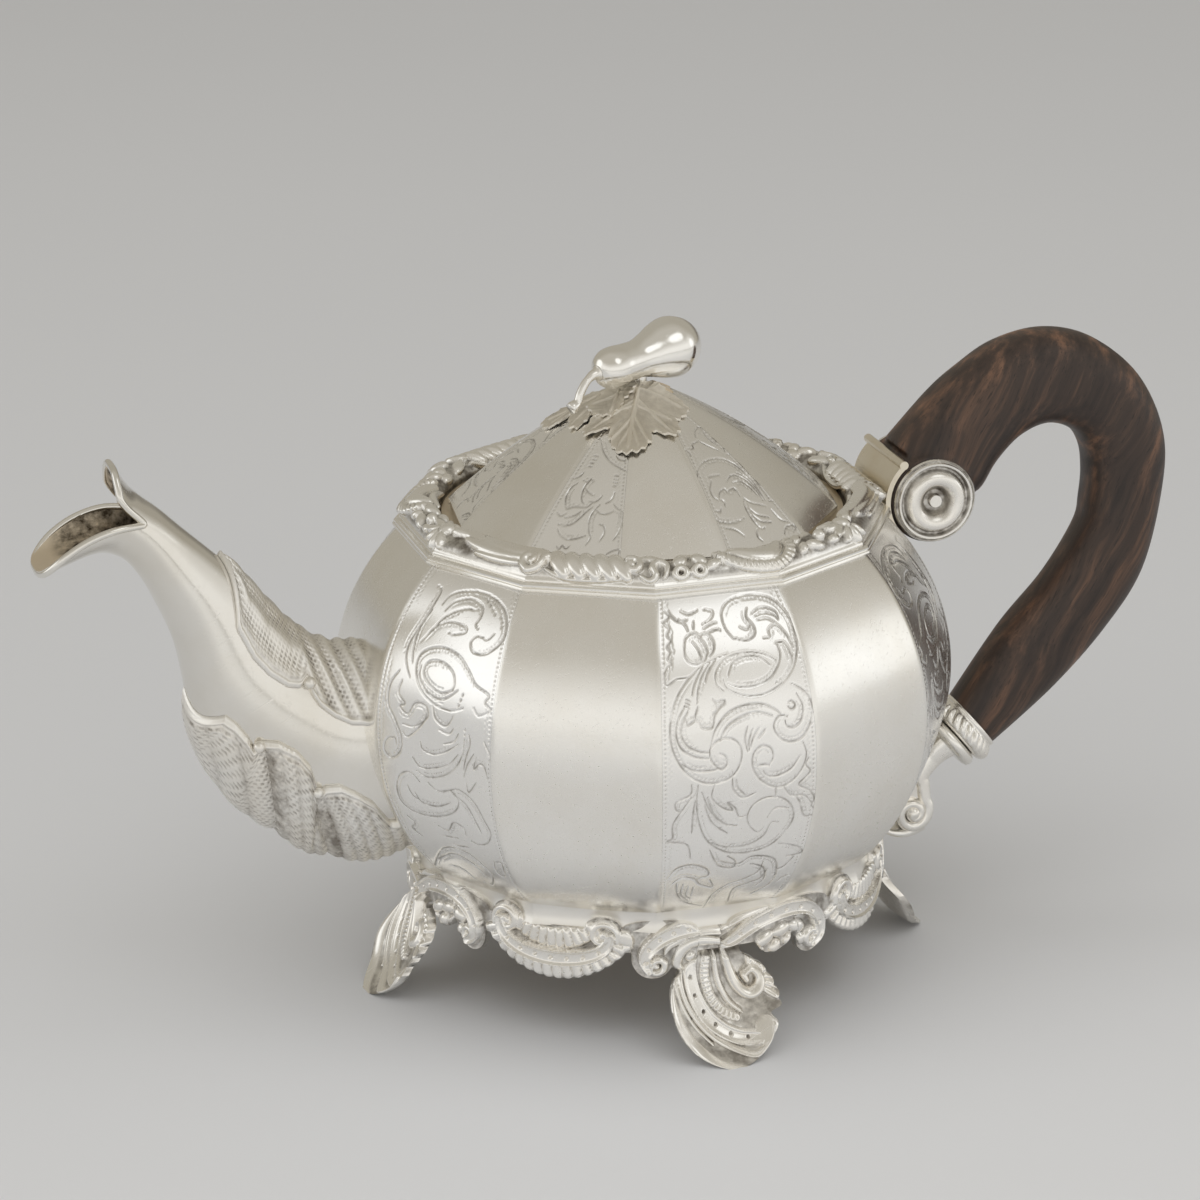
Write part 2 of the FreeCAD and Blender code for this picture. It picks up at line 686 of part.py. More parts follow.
knop_start = ferrule_length + solder_gap
knop_end = knop_start + knop_length
knop_shoulder = knop_radius - knop_round
knop_rise = knop_round_share * knop_length
knop = grip_turned([(knop_start, 0), (knop_start, knop_shoulder), (knop_start + knop_rise, knop_radius),
                    (knop_end - knop_rise, knop_radius), (knop_end, knop_shoulder), (knop_end, 0)])
export("lower_knop", knop.cut(body_outside))

neck_inner = along_grip(knop_end + solder_gap, -scroll_neck_radius)
neck_outer = along_grip(knop_end + solder_gap, scroll_neck_radius)
scroll_z = ferrule_height - ferrule_length - scroll_drop
scroll_x = panel_radius(base_height + foot_ring_height) + scroll_standoff
bracket_top = base_height + bracket_root_share * (ferrule_height - base_height)


def on_scroll(angle):
    """Point on the bracket's scroll, seen from the side."""
    turn = math.radians(angle)
    return (scroll_x + scroll_radius * math.cos(turn), scroll_z + scroll_radius * math.sin(turn))


bracket_profile = polyline([neck_outer, neck_inner, (panel_radius(bracket_top) - body_wall, bracket_top),
                            (base_radius, base_height),
                            (base_radius + bracket_tail_reach, base_height - bracket_tail_drop),
                            on_scroll(scroll_start_angle)])
bracket_profile += [arc(on_scroll(scroll_start_angle), on_scroll(scroll_low_angle), on_scroll(0)),
                    arc(on_scroll(0), (scroll_x + bracket_waist[0], scroll_z + bracket_waist[1]), neck_outer)]
bracket = side_block(bracket_profile, scroll_half_width)
eye = cross_pin(scroll_x, scroll_z, scroll_radius - scroll_eye_inset, scroll_eye_half_width)
lower_scroll = bracket.fuse(eye).cut([body_outside, foot_ring_outside, knop])
lower_scroll = max(lower_scroll.Solids, key=lambda solid: solid.Volume)
export("lower_scroll", lower_scroll.removeSplitter())

# Foot ring: a coved band under the body
ring_middle = (base_radius - foot_ring_cove, base_height - foot_ring_height / 2)
ring_profile = [line((0, ring_bottom), (base_radius, ring_bottom)),
                arc((base_radius, ring_bottom), ring_middle, (base_radius, base_height)),
                line((base_radius, base_height), (0, base_height))]
ring_inner_radius = base_radius - foot_ring_cove - foot_ring_wall
foot_ring = faceted(ring_profile).cut(disc(ring_inner_radius, 0, rim_height))
export("foot_ring", foot_ring)

# Apron: one quarter of the frieze, with a cartouche and a scroll towards each foot
apron_inner_radius = apron_outer_radius - apron_thickness
apron_wall = disc(apron_outer_radius, 0, ring_bottom).cut(disc(apron_inner_radius, 0, ring_bottom))
foot_half_angle = math.degrees(math.asin((foot_neck_half_width + solder_gap) / apron_inner_radius))


def wedge(start, end, bottom, top):
    """Sector about the axis between two angles."""
    reach = 2 * apron_outer_radius
    corners = [V(0, 0, bottom)]
    corners += [V(reach * math.cos(math.radians(a)), reach * math.sin(math.radians(a)), bottom)
                for a in (start, (start + end) / 2, end)]
    return Part.Face(Part.makePolygon(corners + corners[:1])).extrude(V(0, 0, top - bottom))


def lobe(angle, radius, depth):
    """Round lobe that hangs below the foot ring, seen from outside at an angle."""
    turn = math.radians(angle)
    outwards = V(math.cos(turn), math.sin(turn), 0)
    centre = V(0, 0, ring_bottom - depth + radius)
    return Part.makeCylinder(radius, 2 * apron_outer_radius, centre, outwards)


cartouche_arc = (cartouche_half_width ** 2 + cartouche_sag ** 2) / (2 * cartouche_sag)
cartouche_half_angle = math.degrees(cartouche_half_width / apron_outer_radius)
strip = wedge(foot_half_angle, 90 - foot_half_angle, ring_bottom - apron_strip_height, ring_bottom)
cartouche = lobe(cartouche_angle, cartouche_arc, cartouche_depth).common(
    wedge(cartouche_angle - cartouche_half_angle, cartouche_angle + cartouche_half_angle, 0, ring_bottom))
scroll_angles = (near_scroll_angle, far_scroll_angle)
scrolls = [lobe(angle, side_scroll_radius, side_scroll_depth) for angle in scroll_angles]
frieze = apron_wall.common(strip.fuse([cartouche] + scrolls)).removeSplitter()
for name, turn in (("apron_front_left", 180), ("apron_front_right", 270), ("apron_back_right", 0),
                   ("apron_back_left", 90)):
    export(name, turn_about_axis(frieze, turn))

# Feet: bowed shells that lean outwards from the foot ring to the table
neck_outer_radius = apron_outer_radius - solder_gap
neck_inner_radius = neck_outer_radius - foot_thickness
shell_outer_middle = (neck_outer_radius + foot_waist_reach, foot_waist_height)
shell_inner_middle = (shell_outer_middle[0] - foot_thickness, shell_outer_middle[1] - foot_waist_drop)
foot_profile = [line((neck_inner_radius, ring_bottom), (neck_outer_radius, ring_bottom)),
                arc((neck_outer_radius, ring_bottom), shell_outer_middle, (foot_reach, 0)),
                line((foot_reach, 0), (foot_reach - foot_flat, 0)),
                arc((foot_reach - foot_flat, 0), shell_inner_middle, (neck_inner_radius, ring_bottom))]
foot_sweep = side_block(foot_profile, foot_shell_radius)
shell_disc = Part.makeCylinder(foot_shell_radius, 2 * foot_reach, V(0, 0, foot_shell_rise), V(1, 0, 0))
neck_block = Part.makeBox(2 * foot_reach, 2 * foot_neck_half_width, ring_bottom - foot_shell_radius,
                          V(0, -foot_neck_half_width, foot_shell_radius))
foot = foot_sweep.common(shell_disc.fuse(neck_block)).cut([frieze, turn_about_axis(frieze, -90)])
foot = max(foot.Solids, key=lambda solid: solid.Volume)
for name, turn in (("foot_handle", 0), ("foot_back", 90), ("foot_spout", 180), ("foot_front", 270)):
    export(name, turn_about_axis(foot, turn))
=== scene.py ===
"""Footed silver teapot: twelve-panel body, loose lid with a pear, beaked spout, dark wooden handle."""
import bpy
import numpy as np
from math import asin, cos, hypot, pi, radians, sin, tan
from mathutils import Matrix, Vector


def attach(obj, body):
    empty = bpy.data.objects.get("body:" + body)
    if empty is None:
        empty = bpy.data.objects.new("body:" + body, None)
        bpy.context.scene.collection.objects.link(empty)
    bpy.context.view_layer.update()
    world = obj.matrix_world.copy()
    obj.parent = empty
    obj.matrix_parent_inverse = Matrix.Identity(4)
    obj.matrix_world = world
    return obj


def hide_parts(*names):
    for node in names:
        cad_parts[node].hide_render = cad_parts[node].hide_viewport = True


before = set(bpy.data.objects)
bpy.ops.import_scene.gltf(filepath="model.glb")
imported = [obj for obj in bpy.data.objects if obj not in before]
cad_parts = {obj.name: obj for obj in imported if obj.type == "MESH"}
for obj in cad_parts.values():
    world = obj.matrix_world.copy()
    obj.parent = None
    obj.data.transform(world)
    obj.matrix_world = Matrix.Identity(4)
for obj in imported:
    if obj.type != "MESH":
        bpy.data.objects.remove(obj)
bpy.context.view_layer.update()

# Sizes below are in millimetres, in the frame of the solids
MM = 0.001
panel_step = 30.0
half_panel = tan(radians(panel_step / 2))
facet = cos(radians(panel_step / 2))
belly_radius, belly_height = 63.3, 65.0
base_radius, base_height = 48.8, 30.5
lid_radius, lid_base, lid_shoulder, lid_top = 39.6, 101.7, 102.7, 127.7
lid_crown_radius, lid_turn, lid_wall = 4.0, 22.0, 0.9
border_inner = lid_radius / facet + 1.2
rim_radius, rim_height = border_inner + 7.3, 98.5
body_wall = 0.9
plate_bed = 0.3
plate_margin = 0.7
solder_gap = 0.05
strainer_pitch, strainer_hole, strainer_drop, strainer_reach = 6, 1.7, 4, 12

# Camera at the photograph's angle, in metres; drawings over the photograph are laid on the pot through it
camera_place = np.array((-0.27114, -0.85803, 0.38571))
camera_swing, camera_rise, camera_roll = radians(-16.96), radians(18.71), radians(-0.67)
camera_lens, camera_sensor, photo_width = 135.0, 36.0, 1200
camera_back = np.array((sin(camera_swing) * cos(camera_rise), -cos(camera_swing) * cos(camera_rise),
                        sin(camera_rise)))
unrolled = np.array((cos(camera_swing), sin(camera_swing), 0.0))
camera_right = unrolled * cos(camera_roll) + np.cross(camera_back, unrolled) * sin(camera_roll)
camera_up = np.cross(camera_back, camera_right)


def circle_through(a, b, c):
    """Centre and radius of the circle through three points of a side view."""
    rows = [[2 * (q[0] - a[0]), 2 * (q[1] - a[1])] for q in (b, c)]
    sums = [q[0] ** 2 + q[1] ** 2 - a[0] ** 2 - a[1] ** 2 for q in (b, c)]
    x, z = np.linalg.solve(rows, sums)
    return x, z, hypot(a[0] - x, a[1] - z)


body_x, body_z, body_arc = circle_through((rim_radius, rim_height), (belly_radius, belly_height),
                                          (base_radius, base_height))
lid_x, lid_z, lid_arc = circle_through((lid_radius, lid_shoulder), (lid_radius / 2, lid_shoulder + 16.0),
                                       (lid_crown_radius, lid_top))


def panel_radius(height):
    """Distance from the axis to the middle of a body panel at a height."""
    return body_x + np.sqrt(body_arc ** 2 - (np.clip(height, 20, 110) - body_z) ** 2)


def lid_height(radius):
    """Height of the lid above the middle of one of its panels."""
    return lid_z + np.sqrt(lid_arc ** 2 - (np.maximum(radius, lid_crown_radius) - lid_x) ** 2)


def smoothed(points, steps=8):
    """Smooth run of points through the given ones."""
    p = np.asarray(points, float)
    p = np.vstack([p[:1], p, p[-1:]])
    share = np.linspace(0, 1, steps, endpoint=False)[:, None]
    runs = []
    for a, b, c, d in zip(p, p[1:], p[2:], p[3:]):
        into, out = (c - a) / 2, (d - b) / 2
        cubic = 2 * b - 2 * c + into + out
        square = 3 * c - 3 * b - 2 * into - out
        runs.append(((cubic * share + square) * share + into) * share + b)
    return np.vstack(runs + [p[-1:]])


def evenly(points, count):
    """The run of points divided again into even lengths."""
    p = np.asarray(points, float)
    marks = np.concatenate([[0], np.cumsum(np.linalg.norm(np.diff(p, axis=0), axis=1))])
    spots = np.linspace(0, marks[-1], count)
    return np.stack([np.interp(spots, marks, p[:, k]) for k in range(p.shape[1])], 1)


def step_up(value, low, high):
    """Soft step from 0 at low to 1 at high."""
    t = np.clip((value - low) / (high - low), 0, 1)
    return t * t * (3 - 2 * t)


# Making pieces

def pick_only(piece):
    """Select one piece and make it the active one."""
    bpy.ops.object.select_all(action="DESELECT")
    piece.select_set(True)
    bpy.context.view_layer.objects.active = piece


def sheet(name, places, hollow=None):
    """Grid primitive drawn to rows and columns of places, faces towards column run x row run."""
    rows, columns = places.shape[:2]
    bpy.ops.object.select_all(action="DESELECT")
    bpy.ops.mesh.primitive_grid_add(x_subdivisions=columns - 1, y_subdivisions=rows - 1, size=1)
    piece = bpy.context.object
    piece.name = piece.data.name = name
    piece.data.vertices.foreach_set("co", (places * MM).astype(np.float32).ravel())
    if hollow is not None:
        layer = piece.data.attributes.new("hollow", "FLOAT", "POINT")
        layer.data.foreach_set("value", np.clip(hollow, 0, 1).astype(np.float32).ravel())
    piece.data.update()
    return piece


def weld(piece, cap=False, turn_out=False):
    """Merge the seams of a piece, close its open ends and turn its faces outwards."""
    pick_only(piece)
    bpy.ops.object.mode_set(mode="EDIT")
    bpy.ops.mesh.select_all(action="SELECT")
    bpy.ops.mesh.remove_doubles(threshold=2e-6)
    if cap:
        bpy.ops.mesh.select_all(action="SELECT")
        bpy.ops.mesh.fill_holes(sides=0)
    if turn_out:
        bpy.ops.mesh.select_all(action="SELECT")
        bpy.ops.mesh.normals_make_consistent(inside=False)
    bpy.ops.object.mode_set(mode="OBJECT")
    return piece


def work(piece, kind, **settings):
    """Put a modifier on a piece and apply it."""
    pick_only(piece)
    modifier = piece.modifiers.new(kind.lower(), kind)
    for name, value in settings.items():
        setattr(modifier, name, value)
    bpy.ops.object.modifier_apply(modifier=modifier.name)
    return piece


def wall(piece, thickness, inside=False):
    """Give an open sheet its thickness, inwards."""
    return work(piece, "SOLIDIFY", thickness=thickness * MM, offset=-1, material_offset=1 if inside else 0)


def slab(name, front, back, hollow):
    """Closed plate from a worked front and a plain back with the same rows, joined at their sides."""
    places = np.concatenate([front, back[:, ::-1], front[:, :1]], 1)
    plain = np.zeros((len(front), back.shape[1]))
    depth = np.concatenate([hollow, plain, hollow[:, :1]], 1)
    return weld(sheet(name, places, depth), cap=True, turn_out=True)


def join(pieces, name):
    """Several meshes made one piece."""
    pick_only(pieces[0])
    for piece in pieces[1:]:
        piece.select_set(True)
    bpy.ops.object.join()
    piece = bpy.context.object
    piece.name = piece.data.name = name
    return piece


def settle(piece, body, finish, *nodes, slot="silver", angle=None):
    """Smooth shading, finish, body and the solids that a piece stands for."""
    pick_only(piece)
    if angle:
        bpy.ops.object.shade_smooth_by_angle(angle=radians(angle))
    else:
        bpy.ops.object.shade_smooth()
    if not piece.data.materials:
        piece.data.materials.append(finish)
    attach(piece, body)
    if nodes:
        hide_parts(*nodes)
    return piece


def around_axis(angle, out, side, height):
    """Points at a distance out and to the side of a direction about the pot's axis."""
    a = np.radians(angle)
    out, side, height = np.broadcast_arrays(out, side, height)
    return np.stack([out * np.cos(a) - side * np.sin(a), out * np.sin(a) + side * np.cos(a), height], -1)


def lathe(name, profile, origin, axis, columns=96, swell=None, hollow=None):
    """Closed piece turned about an axis, from distances along it and radii; swell changes the radius."""
    axis = np.array(axis, float) / np.linalg.norm(axis)
    side = np.cross(axis, (0.0, 1.0, 0.0) if abs(axis[1]) < 0.9 else (1.0, 0.0, 0.0))
    side /= np.linalg.norm(side)
    other = np.cross(axis, side)
    run = np.asarray(profile, float)
    turn = np.linspace(0, 2 * pi, columns + 1)
    far, radius = np.meshgrid(run[:, 0], turn, indexing="ij")[0], np.repeat(run[:, 1:], columns + 1, 1)
    if swell is not None:
        radius = radius + swell(run[:, :1], turn[None, :])
    places = (np.array(origin) + far[..., None] * axis + (radius * np.cos(turn))[..., None] * side
              + (radius * np.sin(turn))[..., None] * other)
    if hollow is not None:
        hollow = np.repeat(np.array(hollow, float)[:, None], columns + 1, 1)
    return weld(sheet(name, places, hollow), cap=True, turn_out=True)


def ball(name, centre, radius):
    """Small round bead."""
    bpy.ops.object.select_all(action="DESELECT")
    bpy.ops.mesh.primitive_uv_sphere_add(segments=24, ring_count=14, radius=radius * MM,
                                         location=[value * MM for value in centre])
    piece = bpy.context.object
    piece.name = piece.data.name = name
    return piece


def bar(name, path, half_thick, half_wide, columns=29, square=0.7):
    """Closed bar along a path in the upright plane of spout and handle, its ends capped."""
    path = np.asarray(path, float)
    run = np.gradient(path, axis=0)
    run /= np.linalg.norm(run, axis=1)[:, None]
    across = np.stack([run[:, 1], -run[:, 0]], 1)
    turn = np.linspace(0, 2 * pi, columns)
    c = np.sign(np.cos(turn)) * np.abs(np.cos(turn)) ** square
    d = np.sign(np.sin(turn)) * np.abs(np.sin(turn)) ** square
    thick, wide = [np.broadcast_to(value, len(path))[:, None] for value in (half_thick, half_wide)]
    x = path[:, :1] + across[:, :1] * thick * c
    z = path[:, 1:] + across[:, 1:] * thick * c
    return weld(sheet(name, np.stack([x, wide * d, z], -1)), cap=True, turn_out=True)


def oval_points(stations, share, turn, lift=0.0, square=1.0):
    """Points on a tube of oval sections, at shares of its length and turns from its lower side."""
    marks = np.linspace(0, 1, len(stations))
    ux, uz, lx, lz, width = [np.interp(share, marks, stations[:, k]) for k in range(5)]
    dx, dz = (lx - ux) / 2, (lz - uz) / 2
    grow = 1 + lift / np.hypot(dx, dz)
    fall = np.sign(np.cos(turn)) * np.abs(np.cos(turn)) ** square
    across = np.sign(np.sin(turn)) * np.abs(np.sin(turn)) ** square
    return np.stack([(ux + lx) / 2 + dx * grow * fall, (width + lift) * across,
                     (uz + lz) / 2 + dz * grow * fall], -1)


# Ornament: heights over a flat drawing of a piece, in millimetres

def near_path(x, y, points, reach, steps=6):
    """Grid points within reach of a path: their places, gaps, shares along it, sides and its length."""
    path = smoothed(points, steps) if len(points) > 2 else np.asarray(points, float)
    low, high = path.min(0) - reach, path.max(0) + reach
    near = np.nonzero((x > low[0]) & (x < high[0]) & (y > low[1]) & (y < high[1]))
    px, py = x[near][:, None], y[near][:, None]
    start, run = path[:-1], np.diff(path, axis=0)
    square = np.maximum((run ** 2).sum(1), 1e-9)
    share = ((px - start[:, 0]) * run[:, 0] + (py - start[:, 1]) * run[:, 1]) / square
    share = np.clip(share, 0, 1)
    dx = px - start[:, 0] - share * run[:, 0]
    dy = py - start[:, 1] - share * run[:, 1]
    gaps = dx * dx + dy * dy
    best = gaps.argmin(1)
    pick = (np.arange(len(best)), best)
    lengths = np.sqrt(square)
    before = np.cumsum(lengths) - lengths
    along = (before[best] + share[pick] * lengths[best]) / lengths.sum()
    side = np.sign(run[best, 0] * dy[pick] - run[best, 1] * dx[pick])
    return near, np.sqrt(gaps[pick]), along, side, lengths.sum()


def taper(share, thin):
    """Width along a stroke, thin at both ends."""
    return thin + (1 - thin) * np.sin(pi * np.clip(share, 0, 1)) ** 0.7


def cut(relief, x, y, points, width, depth, thin=0.45):
    """Engraved line, deepest in its middle."""
    near, gap, share, _, _ = near_path(x, y, points, width)
    if len(gap):
        reach = width * taper(share, thin)
        relief[near] = np.minimum(relief[near], -depth * np.clip(1.15 - 1.15 * gap / reach, 0, 1))


def ridge(relief, x, y, points, width, height, thin=0.5, floor=0.0):
    """Rounded raised line."""
    near, gap, share, _, _ = near_path(x, y, points, width)
    if len(gap):
        reach = width * taper(share, thin)
        rise = floor + height * np.sqrt(np.clip(1 - (gap / reach) ** 2, 0, 1))
        relief[near] = np.maximum(relief[near], np.where(gap < reach, rise, relief[near]))


def strap(relief, x, y, points, width, height, rim=0.35, thin=0.4):
    """Raised strap, slightly dished, with a bead along each edge."""
    near, gap, share, _, _ = near_path(x, y, points, width * 1.2)
    if len(gap):
        reach = width * taper(share, thin)
        body = height * step_up(reach - gap, 0, 0.35) - 0.3 * np.clip(1 - (gap / reach) ** 2, 0, 1)
        bead = rim * np.exp(-((reach - gap - 0.5) / 0.3) ** 2)
        relief[near] = np.maximum(relief[near], np.where(gap < reach, body + bead, relief[near]))


def fluted(relief, x, y, points, width, height, pitch, depth, slant=0.0, thin=0.6):
    """Raised strap crossed by round flutes."""
    near, gap, share, side, length = near_path(x, y, points, width)
    if len(gap):
        reach = width * taper(share, thin)
        wave = np.abs(np.sin(pi * (share * length + slant * gap * side) / pitch)) ** 0.6
        rise = (height - depth + depth * wave) * np.sqrt(np.clip(1 - (gap / reach) ** 4, 0, 1))
        relief[near] = np.maximum(relief[near], np.where(gap < reach, rise, relief[near]))


def lobe(relief, x, y, spot, size, height, turn=0.0):
    """Rounded lump."""
    c, s = cos(radians(turn)), sin(radians(turn))
    dx, dy = x - spot[0], y - spot[1]
    far = ((dx * c + dy * s) / size[0]) ** 2 + ((dy * c - dx * s) / size[1]) ** 2
    np.maximum(relief, np.where(far < 1, height * np.sqrt(np.clip(1 - far, 0, 1)), -9), out=relief)


def punch(relief, x, y, spots, radius, depth):
    """Small round holes."""
    for spot in spots:
        far = ((x - spot[0]) ** 2 + (y - spot[1]) ** 2) / radius ** 2
        relief -= depth * np.clip(1 - far, 0, 1) ** 0.7


def curl(centre, radius, turns, start, hand=1, inner=0.18, count=14):
    """Points of a volute from its outside to its eye."""
    t = np.linspace(0, 1, count)
    angle = radians(start) + hand * 2 * pi * turns * t
    size = radius * (1 - (1 - inner) * t)
    return [(centre[0] + r * cos(a), centre[1] + r * sin(a)) for r, a in zip(size, angle)]


def dots_on(points, count, first=0.06, last=0.94):
    """Even spots along a path."""
    run = evenly(smoothed(points), 201)
    return [tuple(run[int(200 * t)]) for t in np.linspace(first, last, count)]


# Finishes

def add(tree, kind, inputs=None, **settings):
    """Shader node with its settings; inputs are values or sockets to link."""
    made = tree.nodes.new("ShaderNode" + kind)
    for name, value in settings.items():
        setattr(made, name, value)
    for name, value in (inputs or {}).items():
        if isinstance(value, bpy.types.NodeSocket):
            tree.links.new(value, made.inputs[name])
        else:
            made.inputs[name].default_value = value
    return made


def ramp(tree, factor, *stops):
    """Colour ramp from positions and grey or colour values."""
    made = add(tree, "ValToRGB", {"Fac": factor})
    bar = made.color_ramp.elements
    while len(bar) < len(stops):
        bar.new(0.5)
    for mark, (spot, value) in zip(bar, stops):
        mark.position = spot
        mark.color = (*value, 1) if isinstance(value, tuple) else (value, value, value, 1)
    return made.outputs["Color"]


def noise(tree, vector, scale, detail=3.0, rough=0.55):
    """Noise value at a scale per metre."""
    made = add(tree, "TexNoise", {"Vector": vector, "Scale": scale, "Detail": detail, "Roughness": rough})
    return made.outputs["Fac"]


def maths(tree, operation, first, second=0.0, clamp=False):
    """One sum over two values."""
    return add(tree, "Math", {0: first, 1: second}, operation=operation, use_clamp=clamp).outputs[0]


def stretched(tree, vector, turn, scale):
    """Coordinates turned, then stretched."""
    turned = add(tree, "Mapping", {"Vector": vector, "Rotation": turn})
    return add(tree, "Mapping", {"Vector": turned.outputs[0], "Scale": scale}).outputs[0]


def handled_metal_group():
    """Stains, polish marks and fine scratches of silver that has been used and cleaned."""
    tree = bpy.data.node_groups.new("handled_silver", "ShaderNodeTree")
    side = tree.interface
    side.new_socket(name="Place", in_out="INPUT", socket_type="NodeSocketVector")
    side.new_socket(name="Hollow", in_out="INPUT", socket_type="NodeSocketFloat")
    for name in ("Stain", "Dull", "Height", "Tarnish_and_painted_shade"):
        side.new_socket(name=name, in_out="OUTPUT", socket_type="NodeSocketFloat")
    ends = tree.nodes.new("NodeGroupInput")
    out = tree.nodes.new("NodeGroupOutput")
    place, hollow = ends.outputs["Place"], ends.outputs["Hollow"]
    stain = ramp(tree, noise(tree, place, 55, 6, 0.6), (0.42, 0.0), (0.72, 1.0))
    cloudy = noise(tree, place, 130, 5, 0.62)
    grain = noise(tree, place, 900, 3)
    rubs = []
    for turn, scale in (((0.3, 0.5, 0.2), (70, 2600, 2600)), ((1.1, -0.4, 0.9), (2400, 2400, 60)),
                        ((-0.7, 0.9, 2.0), (1900, 50, 1900))):
        line = noise(tree, stretched(tree, place, turn, scale), 1.0, 2, 0.5)
        rubs.append(ramp(tree, line, (0.66, 0.0), (0.74, 1.0)))
    rub = maths(tree, "ADD", maths(tree, "ADD", rubs[0], rubs[1]), rubs[2], True)
    dull = maths(tree, "ADD", maths(tree, "MULTIPLY", cloudy, 0.8), maths(tree, "MULTIPLY", rub, 0.45), True)
    patch = ramp(tree, noise(tree, place, 330, 5, 0.65), (0.34, 0.15), (0.62, 1.0))
    # Blotchy tarnish in the hollows a piece marks; on the spout's inside the mark is painted shade.
    tarnish = maths(tree, "MULTIPLY", hollow, patch, True)
    height = maths(tree, "SUBTRACT", maths(tree, "MULTIPLY", grain, 0.25), maths(tree, "MULTIPLY", rub, 0.5))
    for name, value in (("Stain", stain), ("Dull", dull), ("Height", height), ("Tarnish_and_painted_shade", tarnish)):
        tree.links.new(value, out.inputs[name])
    return tree


handled_silver = handled_metal_group()


def silver_finish(name, bright=(0.94, 0.925, 0.89), warm=(0.86, 0.825, 0.755), dark=(0.10, 0.078, 0.055),
                  gloss=0.17, spread=0.16, hollow_dark=0.8, hollow_rough=0.2, marks=0.12, attribute="hollow"):
    """Silver; hollows marked on the piece's own points carry tarnish, and on the spout's inside the painted
    shade marked there.
    """
    finish = bpy.data.materials.new(name)
    finish.use_nodes = True
    tree = finish.node_tree
    shader = tree.nodes["Principled BSDF"]
    place = add(tree, "TexCoord").outputs["Object"]
    hollow = add(tree, "Attribute", attribute_name=attribute).outputs["Fac"]
    wear = tree.nodes.new("ShaderNodeGroup")
    wear.node_tree = handled_silver
    tree.links.new(place, wear.inputs["Place"])
    tree.links.new(hollow, wear.inputs["Hollow"])
    body = add(tree, "MixRGB", {"Fac": maths(tree, "MULTIPLY", wear.outputs["Stain"], 0.55),
                                "Color1": (*bright, 1), "Color2": (*warm, 1)})
    dark_tarnish_and_painted_shade = maths(tree, "MULTIPLY", wear.outputs["Tarnish_and_painted_shade"], hollow_dark, True)
    colour = add(tree, "MixRGB", {"Fac": dark_tarnish_and_painted_shade, "Color1": body.outputs[0], "Color2": (*dark, 1)})
    tree.links.new(colour.outputs[0], shader.inputs["Base Color"])
    rough = maths(tree, "ADD", maths(tree, "MULTIPLY", wear.outputs["Dull"], spread), gloss)
    rough = maths(tree, "ADD", rough, maths(tree, "MULTIPLY", wear.outputs["Tarnish_and_painted_shade"], hollow_rough), True)
    tree.links.new(rough, shader.inputs["Roughness"])
    shader.inputs["Metallic"].default_value = 1.0
    bump = add(tree, "Bump", {"Strength": marks, "Distance": 0.0002, "Height": wear.outputs["Height"]})
    tree.links.new(bump.outputs[0], shader.inputs["Normal"])
    return finish


polished_silver = silver_finish("polished_silver")
burnished_silver = silver_finish("burnished_silver", gloss=0.08, spread=0.13)
# Spout silver: polished silver painted darker, a painted shade over the whole spout.
spout_silver_with_painted_shade = silver_finish("spout_silver_with_painted_shade", bright=(0.84, 0.82, 0.775), warm=(0.74, 0.70, 0.62),
                             gloss=0.07, spread=0.11)
worn_silver = silver_finish("worn_silver", bright=(0.84, 0.78, 0.66), warm=(0.66, 0.565, 0.41),
                            gloss=0.22, spread=0.2)
satin_silver = silver_finish("satin_silver", gloss=0.3, spread=0.16)
# Engraved plates: silver painted lighter, a painted light over the plates; the dark in their grooves is
# patina.
engraved_silver_with_painted_light = silver_finish("engraved_silver_with_painted_light", bright=(0.965, 0.955, 0.935), warm=(0.92, 0.90, 0.86),
                                dark=(0.16, 0.135, 0.105), gloss=0.2, spread=0.1, hollow_dark=0.75,
                                marks=0.05)
cast_silver = silver_finish("cast_silver", gloss=0.17, spread=0.16, hollow_dark=0.82, warm=(0.87, 0.82, 0.74))
chased_silver = silver_finish("chased_silver", gloss=0.29, spread=0.2, hollow_dark=0.82,
                              warm=(0.83, 0.775, 0.68), dark=(0.13, 0.10, 0.07))
leaf_silver = silver_finish("matt_leaf_silver", bright=(0.84, 0.80, 0.72), warm=(0.70, 0.64, 0.53),
                            gloss=0.36, spread=0.2, hollow_dark=0.6, dark=(0.20, 0.165, 0.12), marks=0.5)
stained_silver = silver_finish("tea_stained_silver", bright=(0.62, 0.53, 0.40), warm=(0.30, 0.22, 0.13),
                               gloss=0.3, spread=0.25)
# Inside of the spout: tea stain in its colour, and painted shade, near black, deeper into the tube from the
# lip.
spout_inside = silver_finish("tea_stained_spout_with_painted_shade", bright=(0.80, 0.70, 0.56), warm=(0.60, 0.50, 0.36),
                             dark=(0.045, 0.031, 0.016), gloss=0.3, spread=0.25, hollow_dark=0.96,
                             attribute="dark_tarnish_and_painted_shade")


